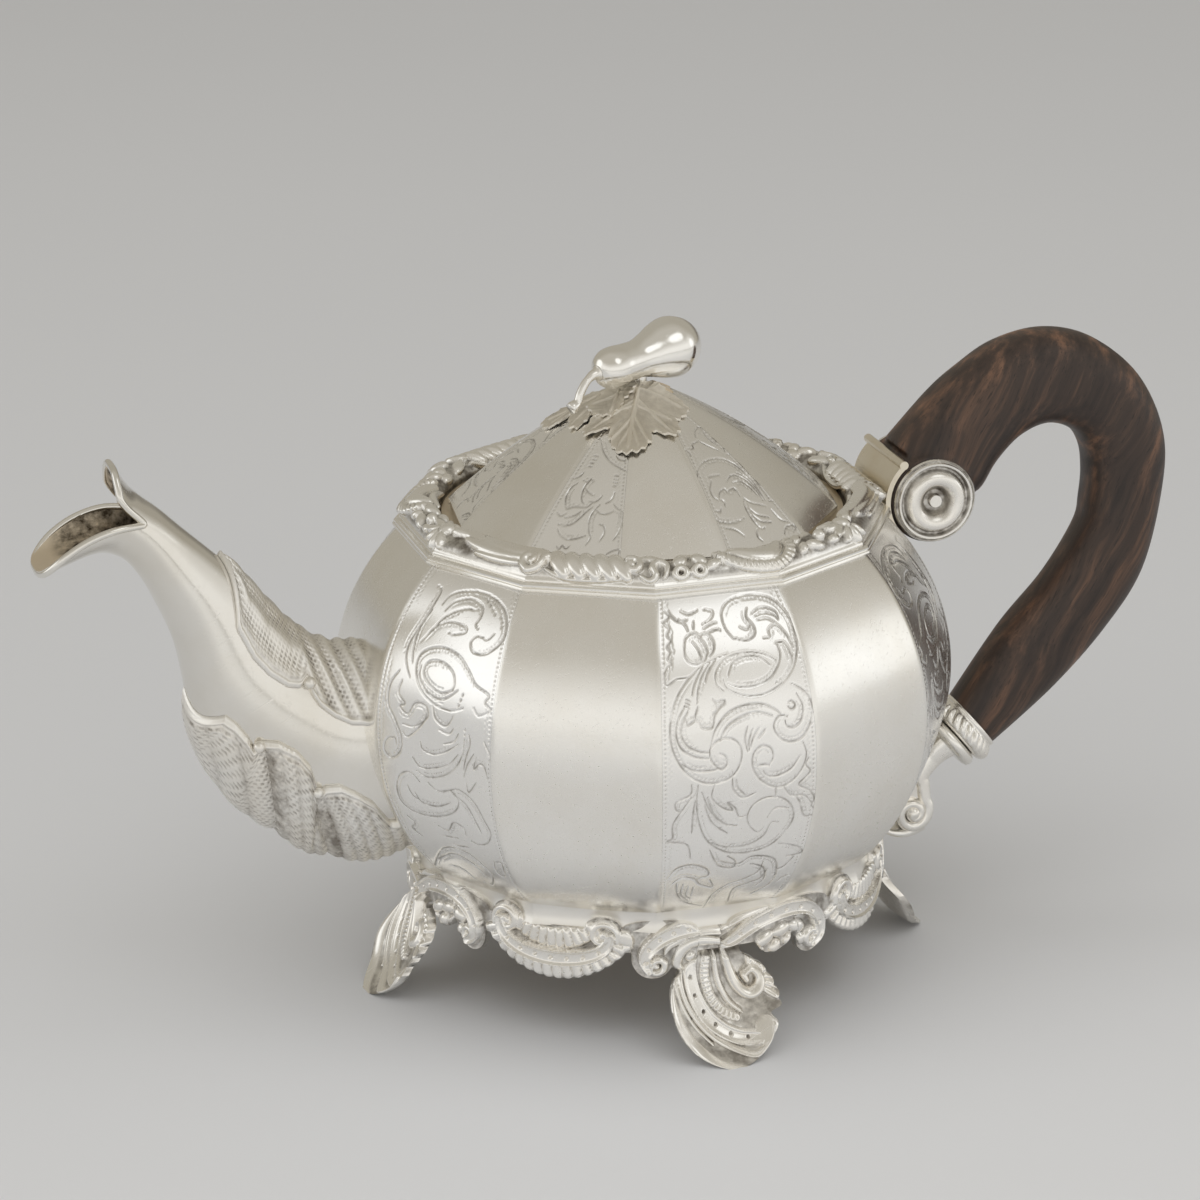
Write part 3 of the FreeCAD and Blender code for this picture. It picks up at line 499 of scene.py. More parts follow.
def wood_finish():
    """Dark handle wood with red-brown streaks, pores and a worn satin surface."""
    finish = bpy.data.materials.new("dark_streaked_wood")
    finish.use_nodes = True
    tree = finish.node_tree
    shader = tree.nodes["Principled BSDF"]
    place = add(tree, "TexCoord").outputs["Object"]
    lean = (0.0, radians(62), 0.0)
    warp = add(tree, "TexNoise", {"Vector": place, "Scale": 28.0, "Detail": 2.0})
    shift = add(tree, "VectorMath", {0: warp.outputs["Color"], 1: (0.011, 0.011, 0.011)},
                operation="MULTIPLY")
    bent = add(tree, "VectorMath", {0: place, 1: shift.outputs[0]}, operation="ADD").outputs[0]
    bands = noise(tree, stretched(tree, bent, lean, (14, 190, 330)), 1.0, 5, 0.6)
    fine = noise(tree, stretched(tree, bent, lean, (40, 700, 900)), 1.0, 4, 0.6)
    mixed = maths(tree, "ADD", maths(tree, "MULTIPLY", bands, 0.72), maths(tree, "MULTIPLY", fine, 0.28))
    tone = ramp(tree, mixed, (0.36, (0.022, 0.014, 0.011)), (0.49, (0.042, 0.026, 0.019)),
                (0.57, (0.085, 0.047, 0.030)), (0.67, (0.17, 0.088, 0.052)))
    specks = noise(tree, stretched(tree, bent, lean, (230, 2900, 2900)), 1.0, 2)
    pores = ramp(tree, specks, (0.62, 0.0), (0.68, 1.0))
    colour = add(tree, "MixRGB", {"Fac": maths(tree, "MULTIPLY", pores, 0.7), "Color1": tone,
                                  "Color2": (0.012, 0.008, 0.006, 1)})
    tree.links.new(colour.outputs[0], shader.inputs["Base Color"])
    rough = maths(tree, "ADD", maths(tree, "MULTIPLY", noise(tree, place, 160, 4), 0.25), 0.33)
    tree.links.new(rough, shader.inputs["Roughness"])
    height = maths(tree, "SUBTRACT", maths(tree, "MULTIPLY", fine, 0.4), maths(tree, "MULTIPLY", pores, 0.8))
    bump = add(tree, "Bump", {"Strength": 0.22, "Distance": 0.0003, "Height": height})
    tree.links.new(bump.outputs[0], shader.inputs["Normal"])
    return finish


handle_wood = wood_finish()


# Engraved lines, drawn over enlarged parts of the photograph, in pixels of those
broad_scroll_drawing = [
    [(330, 430), (335, 385), (370, 365), (400, 395), (420, 440), (400, 480), (360, 485), (335, 460),
     (330, 430)],
    [(360, 400), (385, 430), (400, 480)], [(380, 385), (410, 365), (440, 390), (445, 430), (425, 460)],
    [(345, 360), (330, 330), (300, 310)], [(365, 350), (365, 318)], [(400, 350), (430, 330), (460, 320)],
    [(420, 365), (455, 350), (472, 355)],
    [(247, 275), (270, 300), (247, 325), (270, 345), (262, 375), (278, 395), (262, 420), (275, 440),
     (265, 465), (280, 485), (262, 500), (252, 530), (262, 570), (300, 545), (340, 540), (370, 520)],
    [(265, 275), (280, 300), (310, 320), (345, 310)], [(400, 270), (440, 280), (430, 310), (400, 330)],
    [(310, 275), (345, 290), (380, 275)],
    [(525, 390), (490, 345), (475, 285), (500, 240), (560, 217), (640, 217), (700, 250), (745, 310),
     (768, 390), (768, 455), (745, 520), (695, 575), (630, 607), (560, 608), (500, 580), (483, 545)],
    [(500, 560), (540, 575), (600, 572), (660, 545), (695, 495), (705, 445), (690, 400)],
    [(483, 590), (455, 560), (455, 510), (490, 465), (560, 440), (640, 445), (690, 470)],
    [(500, 535), (520, 480), (575, 455), (630, 460), (668, 490)],
    [(575, 262), (572, 300), (600, 335), (605, 370), (575, 392), (525, 385)],
    [(545, 340), (575, 350), (590, 325)], [(590, 290), (630, 262), (680, 275), (700, 305)],
    [(600, 300), (640, 285), (680, 292), (700, 312)], [(610, 315), (650, 305), (690, 325)],
    [(640, 385), (665, 380), (660, 350), (690, 330), (730, 370), (757, 420)],
    [(685, 405), (720, 400), (745, 440), (752, 480), (735, 520)], [(688, 562), (697, 552)],
    [(703, 552), (712, 541)], [(717, 539), (725, 527)], [(729, 522), (736, 509)], [(738, 504), (743, 490)],
    [(500, 445), (420, 480), (350, 540), (300, 620), (278, 710), (278, 790), (300, 860), (345, 920),
     (400, 950), (460, 952), (520, 925), (553, 870), (553, 815), (520, 780), (470, 782), (435, 815),
     (432, 840)],
    [(430, 835), (440, 870), (475, 900), (498, 880), (492, 850), (470, 838)],
    [(330, 655), (305, 710), (300, 770), (320, 820), (370, 850), (430, 858)],
    [(345, 670), (325, 720), (322, 770), (345, 810), (395, 832), (430, 832)],
    [(320, 880), (370, 905), (430, 905), (470, 895)],
    [(335, 690), (345, 725), (380, 705), (400, 735), (440, 735), (450, 690), (460, 660), (440, 620)],
    [(385, 650), (375, 690), (380, 712)], [(440, 620), (455, 635), (490, 630), (470, 655), (440, 690)],
    [(430, 480), (400, 530), (385, 580), (380, 640)], [(400, 500), (370, 560), (360, 610)],
    [(450, 470), (420, 520), (412, 560)], [(335, 625), (355, 632)], [(332, 638), (352, 645)],
    [(330, 651), (350, 658)],
    [(435, 810), (455, 740), (500, 680), (560, 650), (630, 642), (690, 665), (712, 690)],
    [(470, 790), (500, 730), (560, 690), (620, 675), (680, 690)],
    [(735, 690), (700, 690), (682, 730), (700, 770), (745, 790), (795, 770), (825, 715), (832, 650),
     (810, 600), (770, 570), (745, 560)],
    [(770, 600), (795, 650), (790, 700), (765, 730), (735, 730), (725, 705)],
    [(735, 640), (750, 630), (765, 645), (752, 662), (735, 650)], [(580, 730), (570, 780), (580, 830)],
    [(600, 740), (585, 790), (588, 825)], [(625, 735), (600, 780), (592, 815)], [(650, 740), (620, 780)],
    [(665, 880), (680, 850), (668, 815), (632, 808), (603, 840), (600, 890), (630, 940), (690, 968),
     (745, 950), (790, 900), (810, 840), (795, 790)],
    [(640, 905), (660, 925), (700, 922), (750, 895), (785, 845)], [(620, 885), (645, 880), (665, 885)],
    [(820, 850), (808, 880), (825, 905), (800, 935), (780, 960), (820, 980), (840, 1010), (830, 1040),
     (845, 1055)],
    [(690, 968), (690, 1000)], [(720, 965), (750, 1000), (800, 1000), (830, 1030)],
    [(740, 980), (780, 1020), (800, 1080), (838, 1075)],
    [(385, 960), (380, 1050), (395, 1130), (430, 1190), (500, 1225), (580, 1225), (660, 1200), (720, 1150),
     (758, 1090), (750, 1040), (710, 1010), (650, 1010), (600, 1040), (578, 1085), (590, 1125), (620, 1145),
     (645, 1125)],
    [(440, 1190), (500, 1205), (580, 1195), (640, 1160), (670, 1110), (700, 1105)],
    [(655, 1090), (690, 1050), (740, 1050)],
    [(450, 960), (440, 1010), (480, 1050), (520, 1060), (500, 1030), (530, 1050), (545, 1085), (570, 1080)],
    [(400, 990), (430, 1060), (480, 1110), (540, 1120)], [(420, 1010), (450, 1080), (500, 1120)],
    [(410, 1040), (440, 1110), (500, 1150)], [(520, 935), (525, 980), (560, 1010), (610, 990)],
    [(535, 940), (540, 970), (570, 1000)],
    [(360, 960), (355, 1000), (300, 1030), (300, 1060), (320, 1065), (335, 1040)],
    [(360, 1010), (290, 1110), (285, 1170), (265, 1185), (340, 1195), (355, 1250)],
    [(375, 1020), (365, 1080), (360, 1150)],
    [(265, 1330), (300, 1290), (360, 1275), (415, 1290), (425, 1315), (390, 1325)],
    [(280, 1350), (320, 1325), (370, 1330), (390, 1350), (440, 1360), (430, 1330)],
    [(300, 1345), (300, 1385), (330, 1420), (400, 1435)], [(325, 1350), (315, 1390), (345, 1415)],
    [(345, 1355), (335, 1395), (355, 1405)], [(365, 1360), (355, 1395)],
    [(405, 1440), (440, 1390), (500, 1350), (560, 1330), (620, 1300), (640, 1260)],
    [(500, 1420), (520, 1370), (580, 1345), (630, 1325), (655, 1290)],
    [(470, 1260), (540, 1270), (600, 1240), (680, 1250), (690, 1300), (660, 1350), (590, 1385)],
    [(590, 1270), (640, 1285), (640, 1330), (600, 1360)],
    [(430, 1215), (450, 1260), (470, 1280), (520, 1285), (530, 1260), (500, 1240)],
    [(700, 1190), (740, 1195), (780, 1205), (790, 1225), (730, 1240)],
    [(760, 1240), (720, 1280), (690, 1290)], [(690, 1340), (720, 1320), (748, 1310)],
]
round_scroll_drawing = [
    [(540, 180), (555, 195), (535, 235), (500, 290), (460, 350), (425, 410), (415, 470), (430, 540)],
    [(520, 270), (470, 340), (445, 420), (440, 480)],
    [(640, 660), (590, 670), (520, 640), (470, 580), (455, 500), (480, 440), (550, 420), (620, 450),
     (660, 510), (690, 570), (740, 610), (725, 640), (745, 670), (700, 690), (680, 660)],
    [(600, 590), (550, 600), (500, 560), (485, 510), (510, 475), (560, 480), (600, 520), (605, 570),
     (590, 595)],
    [(620, 590), (560, 625), (500, 600), (468, 540), (475, 490)],
    [(560, 250), (600, 210), (680, 200), (750, 220), (800, 270), (810, 340), (790, 400), (730, 445),
     (680, 440), (670, 400), (700, 375), (735, 390), (765, 365)],
    [(570, 275), (610, 240), (670, 230), (715, 260), (710, 300), (690, 330), (700, 350)],
    [(490, 380), (530, 340), (590, 320), (640, 335), (650, 360), (600, 370), (580, 360)],
    [(470, 400), (520, 350), (570, 300), (640, 270), (700, 275)], [(735, 235), (738, 245)],
    [(745, 250), (749, 260)], [(755, 268), (758, 278)], [(764, 286), (766, 296)], [(788, 300), (790, 310)],
    [(793, 318), (793, 328)], [(792, 336), (790, 346)],
    [(390, 510), (355, 560), (345, 640), (370, 700), (395, 770), (390, 830), (355, 850), (330, 820),
     (340, 780), (370, 775), (375, 800)],
    [(400, 550), (385, 600), (410, 640), (390, 650), (420, 680), (450, 640), (490, 650), (500, 690),
     (470, 720), (440, 730), (400, 720)],
    [(450, 650), (470, 640), (495, 660), (490, 700), (460, 740), (420, 770), (400, 750)],
    [(520, 650), (530, 700), (570, 730), (600, 690)], [(540, 740), (580, 760), (600, 740)],
    [(560, 800), (600, 790), (620, 760)], [(470, 790), (480, 820), (520, 840), (570, 830), (620, 800)],
    [(440, 850), (470, 890), (520, 895), (580, 880), (620, 840)],
    [(450, 900), (500, 930), (560, 925), (610, 890), (635, 840), (640, 790)],
    [(470, 950), (430, 910), (390, 920), (378, 970), (400, 1030), (460, 1070), (540, 1085), (600, 1070),
     (620, 1030), (590, 985), (540, 985), (500, 950)],
    [(450, 990), (480, 1030), (540, 1045), (590, 1030)], [(420, 960), (440, 1000), (470, 1020)],
    [(690, 850), (680, 900), (700, 880), (720, 890), (735, 940)], [(720, 790), (745, 850), (738, 870)],
    [(560, 990), (620, 980), (680, 1030), (720, 1100), (745, 1150), (735, 1190), (700, 1195), (670, 1180)],
    [(600, 1000), (650, 1040), (690, 1110), (710, 1150)],
    [(540, 1120), (580, 1140), (600, 1110), (640, 1130), (650, 1160)], [(560, 1160), (620, 1170)],
    [(500, 1260), (560, 1210), (640, 1220), (700, 1260), (750, 1310), (755, 1350), (720, 1340)],
    [(540, 1250), (600, 1230), (680, 1270), (730, 1320)], [(580, 1270), (640, 1290), (690, 1330)],
    [(760, 1260), (770, 1300), (800, 1320), (790, 1270), (765, 1265)], [(640, 605), (634, 615)],
    [(632, 625), (626, 635)], [(624, 645), (618, 655)], [(646, 740), (645, 750)], [(645, 760), (644, 770)],
    [(643, 780), (642, 790)], [(642, 800), (640, 810)], [(650, 950), (660, 990), (690, 950)],
    [(660, 760), (665, 800), (650, 850), (640, 900)], [(640, 930), (655, 880), (680, 840)],
    [(420, 1080), (450, 1110), (440, 1130), (480, 1160)], [(600, 1190), (620, 1200), (660, 1205)],
]
lid_leaf_drawing = [
    [(402, 545), (432, 544), (462, 556), (482, 586)], [(462, 542), (495, 538), (490, 512), (532, 492)],
    [(512, 470), (508, 435), (520, 405), (560, 395), (602, 410), (606, 445), (640, 485), (685, 522),
     (704, 560)],
    [(560, 430), (590, 470), (650, 520)], [(540, 500), (600, 530), (660, 555)], [(704, 582), (748, 578)],
    [(520, 725), (525, 670), (560, 630), (620, 610), (690, 612), (760, 640), (830, 690), (900, 762),
     (960, 845)],
    [(765, 592), (830, 650), (900, 728), (990, 842)], [(770, 694), (830, 714), (890, 765), (952, 834)],
    [(708, 748), (740, 712), (790, 714), (850, 744), (910, 800), (948, 852)],
    [(748, 752), (800, 745), (860, 776), (912, 824)], [(588, 722), (618, 714), (662, 707)],
    [(610, 738), (603, 790), (620, 830), (652, 852)],
    [(660, 836), (665, 806), (695, 790), (715, 806), (735, 789), (765, 790), (796, 830)],
    [(664, 850), (690, 860), (697, 884)], [(638, 910), (664, 916), (672, 896)],
    [(600, 928), (640, 960), (700, 975), (770, 970), (822, 948)], [(690, 1000), (760, 1010), (820, 1040)],
    [(822, 842), (870, 866), (962, 880)], [(820, 846), (830, 892), (870, 950), (922, 996), (956, 994)],
    [(922, 996), (903, 1010), (908, 1042), (942, 1066)], [(860, 900), (910, 930), (980, 940)],
    [(880, 935), (935, 965), (1000, 965)], [(985, 852), (1016, 852)],
    [(1085, 1025), (1095, 990), (1140, 975), (1165, 990), (1140, 1015)],
    [(1000, 900), (1060, 950), (1110, 960)],
]
lid_flower_drawing = [
    [(1150, 630), (1182, 640)], [(1140, 655), (1172, 662)], [(1128, 680), (1160, 686)],
    [(1118, 702), (1148, 708)], [(1010, 772), (1040, 778), (1075, 765), (1095, 742)],
    [(1100, 795), (1128, 806), (1152, 790), (1115, 835), (1100, 885), (1105, 925), (1122, 948)],
    [(1062, 812), (1020, 840), (995, 885), (995, 930), (1010, 968), (1060, 960), (1140, 968), (1175, 945),
     (1215, 930), (1240, 903)],
    [(945, 990), (975, 1008), (1012, 994)], [(1150, 935), (1200, 942)],
    [(1322, 880), (1315, 915), (1295, 940), (1268, 952)], [(1308, 775), (1338, 779)],
    [(1306, 797), (1335, 801)], [(1304, 818), (1333, 823)], [(1302, 842), (1330, 847)],
    [(1325, 960), (1350, 985), (1385, 1005), (1410, 1018), (1400, 1070), (1375, 1130), (1345, 1172)],
    [(1232, 958), (1190, 1000), (1170, 1050), (1175, 1110), (1190, 1150), (1160, 1190)],
    [(1235, 1072), (1272, 1088), (1280, 1130), (1250, 1176)],
    [(960, 1055), (1010, 1068), (1060, 1060), (1105, 1030), (1140, 1000), (1185, 968)],
    [(960, 1085), (985, 1120), (1030, 1145), (1090, 1148), (1160, 1134)],
    [(1000, 1020), (1060, 1015), (1110, 990)],
    [(1180, 510), (1210, 600), (1260, 670), (1320, 715), (1388, 750)], [(1330, 600), (1392, 642)],
    [(1305, 640), (1330, 665), (1368, 676)], [(1305, 1247), (1350, 1228), (1392, 1226), (1380, 1265)],
    [(965, 1180), (985, 1196), (1005, 1180), (1030, 1198), (1055, 1186)],
    [(1120, 850), (1150, 880), (1190, 900)], [(1205, 985), (1240, 1010), (1290, 1015), (1330, 1000)],
]


# Body

def body_point(angle, side, height, lift=0.0):
    """Point on a body panel, its middle a little crowned, its ridges a little rounded."""
    radius = panel_radius(height)
    half = radius * half_panel
    crown = 0.3 * (1 - (side / half) ** 2)
    edge = np.clip(1 - (half - np.abs(side)) / 0.55, 0, 1)
    lift = lift + crown - 0.07 * edge ** 2
    tilt = (radius - body_x) / body_arc
    rise = (height - body_z) / body_arc
    return around_axis(angle, radius + lift * tilt, side, height + lift * rise)


def lid_point(angle, side, radius, lift=0.0):
    """Point on a lid panel at a distance from the axis."""
    half = radius * half_panel
    crown = 0.2 * (1 - (side / np.maximum(half, 0.1)) ** 2)
    edge = np.clip(1 - (half - np.abs(side)) / 0.45, 0, 1)
    lift = lift + crown - 0.06 * edge ** 2
    tilt = (np.maximum(radius, lid_crown_radius) - lid_x) / lid_arc
    rise = (lid_height(radius) - lid_z) / lid_arc
    return around_axis(angle, radius + lift * tilt, side, lid_height(radius) + lift * rise)


def panelled(point, spots, half, first_angle):
    """Ring of twelve panels; every second one has a shallow bed for its engraved plate."""
    columns = []
    for k in range(12):
        angle = first_angle + panel_step * k
        if k % 2:
            margins = [0.0, plate_margin / 2, plate_margin, plate_margin + 0.02]
            sides = [-half + m for m in margins] + [half * t for t in (-0.6, -0.2, 0.2, 0.6)]
            sides += [half - m for m in margins[:0:-1]]
            beds = [0, 0, 0] + [-plate_bed] * 6 + [0, 0]
        else:
            marks = [-1, -0.985, -0.955, -0.9, -0.75, -0.5, -0.25, 0, 0.25, 0.5, 0.75, 0.9, 0.955, 0.985]
            sides = [half * t for t in marks]
            beds = [0] * len(marks)
        for side, bed in zip(sides, beds):
            columns.append(point(angle, side, spots, bed))
    columns.append(columns[0])
    return np.concatenate(columns, 1)


heights = np.linspace(base_height, rim_height, 97)[:, None]
body = sheet("body", panelled(body_point, heights, panel_radius(heights) * half_panel, 0.0))
body.data.materials.append(polished_silver)
body.data.materials.append(stained_silver)
weld(body)
wall(body, body_wall, inside=True)
strainer_turns = [radians(60 * step) for step in range(6)]
strainer_spots = [(0.0, 0.0)]
strainer_spots += [(strainer_pitch * cos(turn), strainer_pitch * sin(turn)) for turn in strainer_turns]
drills = []
for across, rise in strainer_spots:
    spot = (-belly_radius * MM, across * MM, (belly_height - strainer_drop + rise) * MM)
    bpy.ops.mesh.primitive_cylinder_add(vertices=24, radius=strainer_hole * MM, depth=strainer_reach * MM,
                                        rotation=(0, pi / 2, 0), location=spot)
    drills.append(bpy.context.object)
drill = join(drills, "drill")
work(body, "BOOLEAN", object=drill, operation="DIFFERENCE", solver="EXACT")
bpy.data.objects.remove(drill)
settle(body, "pot", polished_silver, "body_shell", angle=25)


def shading(run):
    """Fine line and short ticks on the hollow side of a long engraved stroke."""
    path = evenly(smoothed(run), 61)
    steps = np.diff(path, axis=0)
    lengths = np.linalg.norm(steps, axis=1)
    if lengths.sum() < 6.5:
        return []
    steps = steps / lengths[:, None]
    bend = (steps[:-1, 0] * steps[1:, 1] - steps[:-1, 1] * steps[1:, 0]).sum()
    beside = np.stack([-steps[:, 1], steps[:, 0]], 1) * (1 if bend > 0 else -1)
    marks = [(path[:-1] + 0.85 * beside)[6:46:4]]
    for k in np.linspace(14, 44, int(lengths.sum() * 0.5 / 0.8)).astype(int):
        marks.append([path[k] + 0.2 * beside[k], path[k] + 0.8 * beside[k] + 0.5 * steps[k]])
    return marks


def engraved_plate(name, body_name, panel, angle, cuts, mirror=False):
    """Closed thin plate with engraved lines, laid in a panel's bed; its spots run from foot to top."""
    point, half, length, spots, columns = panel
    share = np.linspace(-1, 1, columns)
    spots = spots[:, None]
    half_here = half(spots)
    edge = half_here - plate_margin - 0.03
    side = edge * share
    far = np.broadcast_to(length(spots), side.shape)
    drawn = np.zeros(side.shape)
    for line in cuts:
        run = [(-s if mirror else s, v) for s, v in line]
        run = [(s * half(np.array(v)), length(np.array(v))) for s, v in run]
        cut(drawn, side, far, run, stroke_width, 0.2)
        for mark in shading(run):
            cut(drawn, side, far, mark, 0.55 * stroke_width, 0.11)
    inset = half_here - np.abs(side)
    bead = ((inset - 1.35) ** 2 + ((far + 50) % 0.95 - 0.475) ** 2) / 0.3 ** 2
    drawn = np.minimum(drawn, -0.13 * np.clip(1 - bead, 0, 1))
    wave = np.abs((far + 50) % 1.1 - 0.55) - 0.27
    fringe = np.clip(1 - np.abs(inset - 2.35 - 1.1 * wave) / 0.2, 0, 1)
    fringe = fringe * step_up(np.sin(far * 0.21), -0.5, 0.1)
    drawn = np.minimum(drawn, -0.07 * fringe)
    front = point(angle, side, spots, drawn)
    back = [point(angle, edge * s, spots, -plate_bed + 0.02) for s in (1, -1)]
    places = np.concatenate([front] + back + [front[:, :1]], 1)
    flat = np.zeros((len(spots), 1))
    hollow = np.concatenate([np.clip(-drawn / 0.17, 0, 1) ** 1.4, flat, flat, flat], 1)
    plate = weld(sheet(name, places, hollow), cap=True)
    return settle(plate, body_name, engraved_silver_with_painted_light, angle=60)


def body_half(height):
    """Half the width of a body panel at a height."""
    return panel_radius(height) * half_panel


def body_length(height):
    """Length along a body panel, from the height of its arc's centre."""
    return body_arc * np.arcsin((height - body_z) / body_arc)


def lid_half(radius):
    """Half the width of a lid panel at a distance from the axis."""
    return radius * half_panel


def lid_length(radius):
    """Length along a lid panel, from its arc's centre."""
    return -lid_arc * np.arcsin((radius - lid_x) / lid_arc)


def seen_at(places):
    """Places on the pot as pixels of the photograph."""
    ways = places * MM - camera_place
    scale = photo_width * camera_lens / camera_sensor / -(ways @ camera_back)
    middle = photo_width / 2
    return np.stack([middle + scale * (ways @ camera_right), middle - scale * (ways @ camera_up)], -1)


def laid_on_body(drawing, angle, corner, zoom):
    """Lines drawn over an enlarged body panel, as shares of its half width and heights."""
    def seen(spots):
        """Pixels of spots given as shares and heights."""
        return seen_at(body_point(angle, spots[:, 0] * body_half(spots[:, 1]), spots[:, 1]))

    lines = []
    for line in drawing:
        target = np.array(corner) + np.array(line) / zoom
        spots = np.tile((0.0, belly_height), (len(line), 1))
        for _ in range(12):
            miss = target - seen(spots)
            slopes = [(seen(spots + step) - seen(spots - step)) / 0.02 for step in ((0.01, 0), (0, 0.01))]
            slopes = np.stack(slopes, -1)
            spots = spots + np.linalg.solve(slopes, miss[..., None])[..., 0]
            spots = np.clip(spots, (-1, base_height), (1, rim_height))
        lines.append(spots)
    return lines


def laid_on_lid(drawing, crown, left, right):
    """Lines drawn over an enlarged lid panel, by its crown and corners, as shares and distances out."""
    edges = np.stack([np.subtract(left, crown), np.subtract(right, crown)], 1)
    lines = []
    for line in drawing:
        a, b = np.linalg.solve(edges, (np.array(line) - crown).T)
        lines.append(np.stack([np.clip((b - a) / (a + b), -0.9, 0.9), lid_radius * (a + b)], 1))
    return lines


# Corners and zoom of the enlarged body panels, crown and corners of the lid panels, in pixels
body_zoom = 3.92
broad_scroll_corner, round_scroll_corner = (600, 540), (300, 540)
lid_leaf_marks = (155, 0), (705, 1140), (1225, 1022)
lid_flower_marks = (1395, 0), (755, 1195), (1427, 1295)
broad_scroll_cuts = laid_on_body(broad_scroll_drawing, 270, broad_scroll_corner, body_zoom)
round_scroll_cuts = laid_on_body(round_scroll_drawing, 210, round_scroll_corner, body_zoom)
lid_leaf_cuts = laid_on_lid(lid_leaf_drawing, *lid_leaf_marks)
lid_flower_cuts = laid_on_lid(lid_flower_drawing, *lid_flower_marks)
stroke_width = 0.31
mirrored_panels = (30, 150, 330)
plate_heights = np.linspace(base_height + 0.1, rim_height - 0.1, 290)
plate_radii = np.linspace(lid_radius - 0.1, 6.5, 150)
body_panel = body_point, body_half, body_length, plate_heights, 168
lid_panel = lid_point, lid_half, lid_length, plate_radii, 110
for k in range(6):
    angle = 30 + 60 * k
    cuts = round_scroll_cuts if k % 2 else broad_scroll_cuts
    engraved_plate("engraved_panel_%d" % angle, "pot", body_panel, angle, cuts, angle in mirrored_panels)
    angle = int(lid_turn) + 30 + 60 * k
    cuts = lid_leaf_cuts if k % 2 == 0 else lid_flower_cuts
    engraved_plate("engraved_lid_panel_%d" % angle, "lid", lid_panel, angle, cuts)

# Lid
radii = np.concatenate([np.linspace(lid_radius, lid_crown_radius, 60), [2.6, 1.35]])[:, None]
dome = panelled(lid_point, radii, radii * half_panel, lid_turn)
skirt = dome[:1].copy()
skirt[..., 2] = lid_base
lid = sheet("lid", np.concatenate([skirt, dome]))
lid.data.materials.append(polished_silver)
lid.data.materials.append(stained_silver)
weld(lid)
wall(lid, lid_wall, inside=True)
settle(lid, "lid", polished_silver, "lid_shell", angle=25)


# Rim: moulded wire and cast border

def ring_of_panels(name, profile):
    """Closed twelve-sided ring from a closed profile of distances from the axis and heights."""
    run = np.array(profile + profile[:1], float)
    columns = []
    for k in range(13):
        for t in (-1, -0.985, 0, 0.985):
            out = run[:, 0] - (0.03 if abs(t) == 1 else 0)
            columns.append(around_axis(panel_step * (k % 12), out, out * half_panel * t, run[:, 1]))
    return weld(sheet(name, np.stack(columns[:49], 1)), turn_out=True)


wire_in = rim_radius - 0.1
wire_profile = [(-0.5, 98.45), (0.35, 98.42), (1.05, 98.6), (1.3, 98.95), (1.2, 99.25), (0.85, 99.38),
                (0.8, 99.5), (1.0, 99.62), (1.0, 99.95), (0.7, 100.25), (0.1, 100.35), (-0.5, 100.2)]
wire = ring_of_panels("moulded_rim_wire", [(wire_in + out, height) for out, height in wire_profile])
settle(wire, "pot", polished_silver, "rim_wire", angle=30)

border_section = evenly(smoothed([(49.15, 99.6), (49.35, 101.1), (48.6, 103.0), (47.0, 104.3), (45.3, 104.75),
                                  (43.6, 104.1), (42.5, 102.7), (42.25, 101.0), (42.3, 99.6)], 10), 60)
border_columns = 1260
border_radius = 46.0
motif_length = 2 * pi * border_radius / 3
motif_start = radians(199)


# Points, width, height and thinness of the border's raised lines
border_lines = [
    ([(-1.0, 7.2), (2.5, 8.6), (7.2, 8.2), (12, 7.4), (17, 6.9), (21, 7.7), (23.8, 6.4)], 2.4, 1.45, 0.45),
    ([(3.4, 6.0), (8, 5.5), (13, 5.2), (18.6, 5.3)], 1.6, 1.15, 0.4),
    ([(7.5, 3.7), (12, 3.7), (16, 3.9), (19.4, 4.2)], 1.0, 0.95, 0.4),
    ([(0.5, 11.4), (6, 10.6), (12, 9.8), (18, 9.9)], 1.1, 0.8, 0.5),
    (curl((20.9, 5.2), 2.7, 1.3, 70, -1), 0.95, 1.5, 0.75),
    ([(23.6, 5.4), (25.2, 9.2), (30, 11.4), (36, 11.2), (40.6, 9.2)], 0.7, 1.15, 0.5),
    ([(24.2, 3.6), (28, 1.9), (34, 1.8), (39.4, 2.4)], 0.6, 0.95, 0.5),
    (curl((40.9, 5.6), 2.0, 1.1, 120, -1), 0.8, 1.4, 0.7),
    ([(42.6, 3.2), (44.2, 2.4), (45.4, 3.6), (44.8, 5.4), (46.2, 6.6), (47.6, 5.2), (47.0, 2.8)],
     0.8, 1.25, 0.5),
    ([(61.6, 8.8), (65, 6.4), (69, 6.0), (72.6, 8.2)], 2.1, 1.3, 0.55),
    ([(60.4, 11.0), (66, 9.6), (71.4, 10.6)], 1.2, 0.9, 0.5)]
for k in range(5):
    gadroon_x = 3.0 * k
    border_lines.append(([(24.6 + gadroon_x, 9.8), (25.9 + gadroon_x, 6.2), (28.0 + gadroon_x, 2.8)],
                         1.75, 1.4, 0.65))
for spot in ((50.2, 3.6), (53.9, 3.7)):
    border_lines.append((curl(spot, 1.1, 1.0, 0, 1, 1.0), 0.75, 0.95, 1.0))
for k in range(7):
    ray = radians(120 + 30 * k)
    ray_line = [(92.0 + r * cos(ray), 6.9 + r * sin(ray) * 0.9) for r in (2.2, 3.6, 5.2)]
    border_lines.append((ray_line, 0.95, 1.15, 0.7))
border_rope = [(58.4, 8.0), (60.4, 5.2), (63.6, 3.5), (67.6, 2.9), (71.6, 3.6), (74.4, 5.8), (75.6, 8.6)]
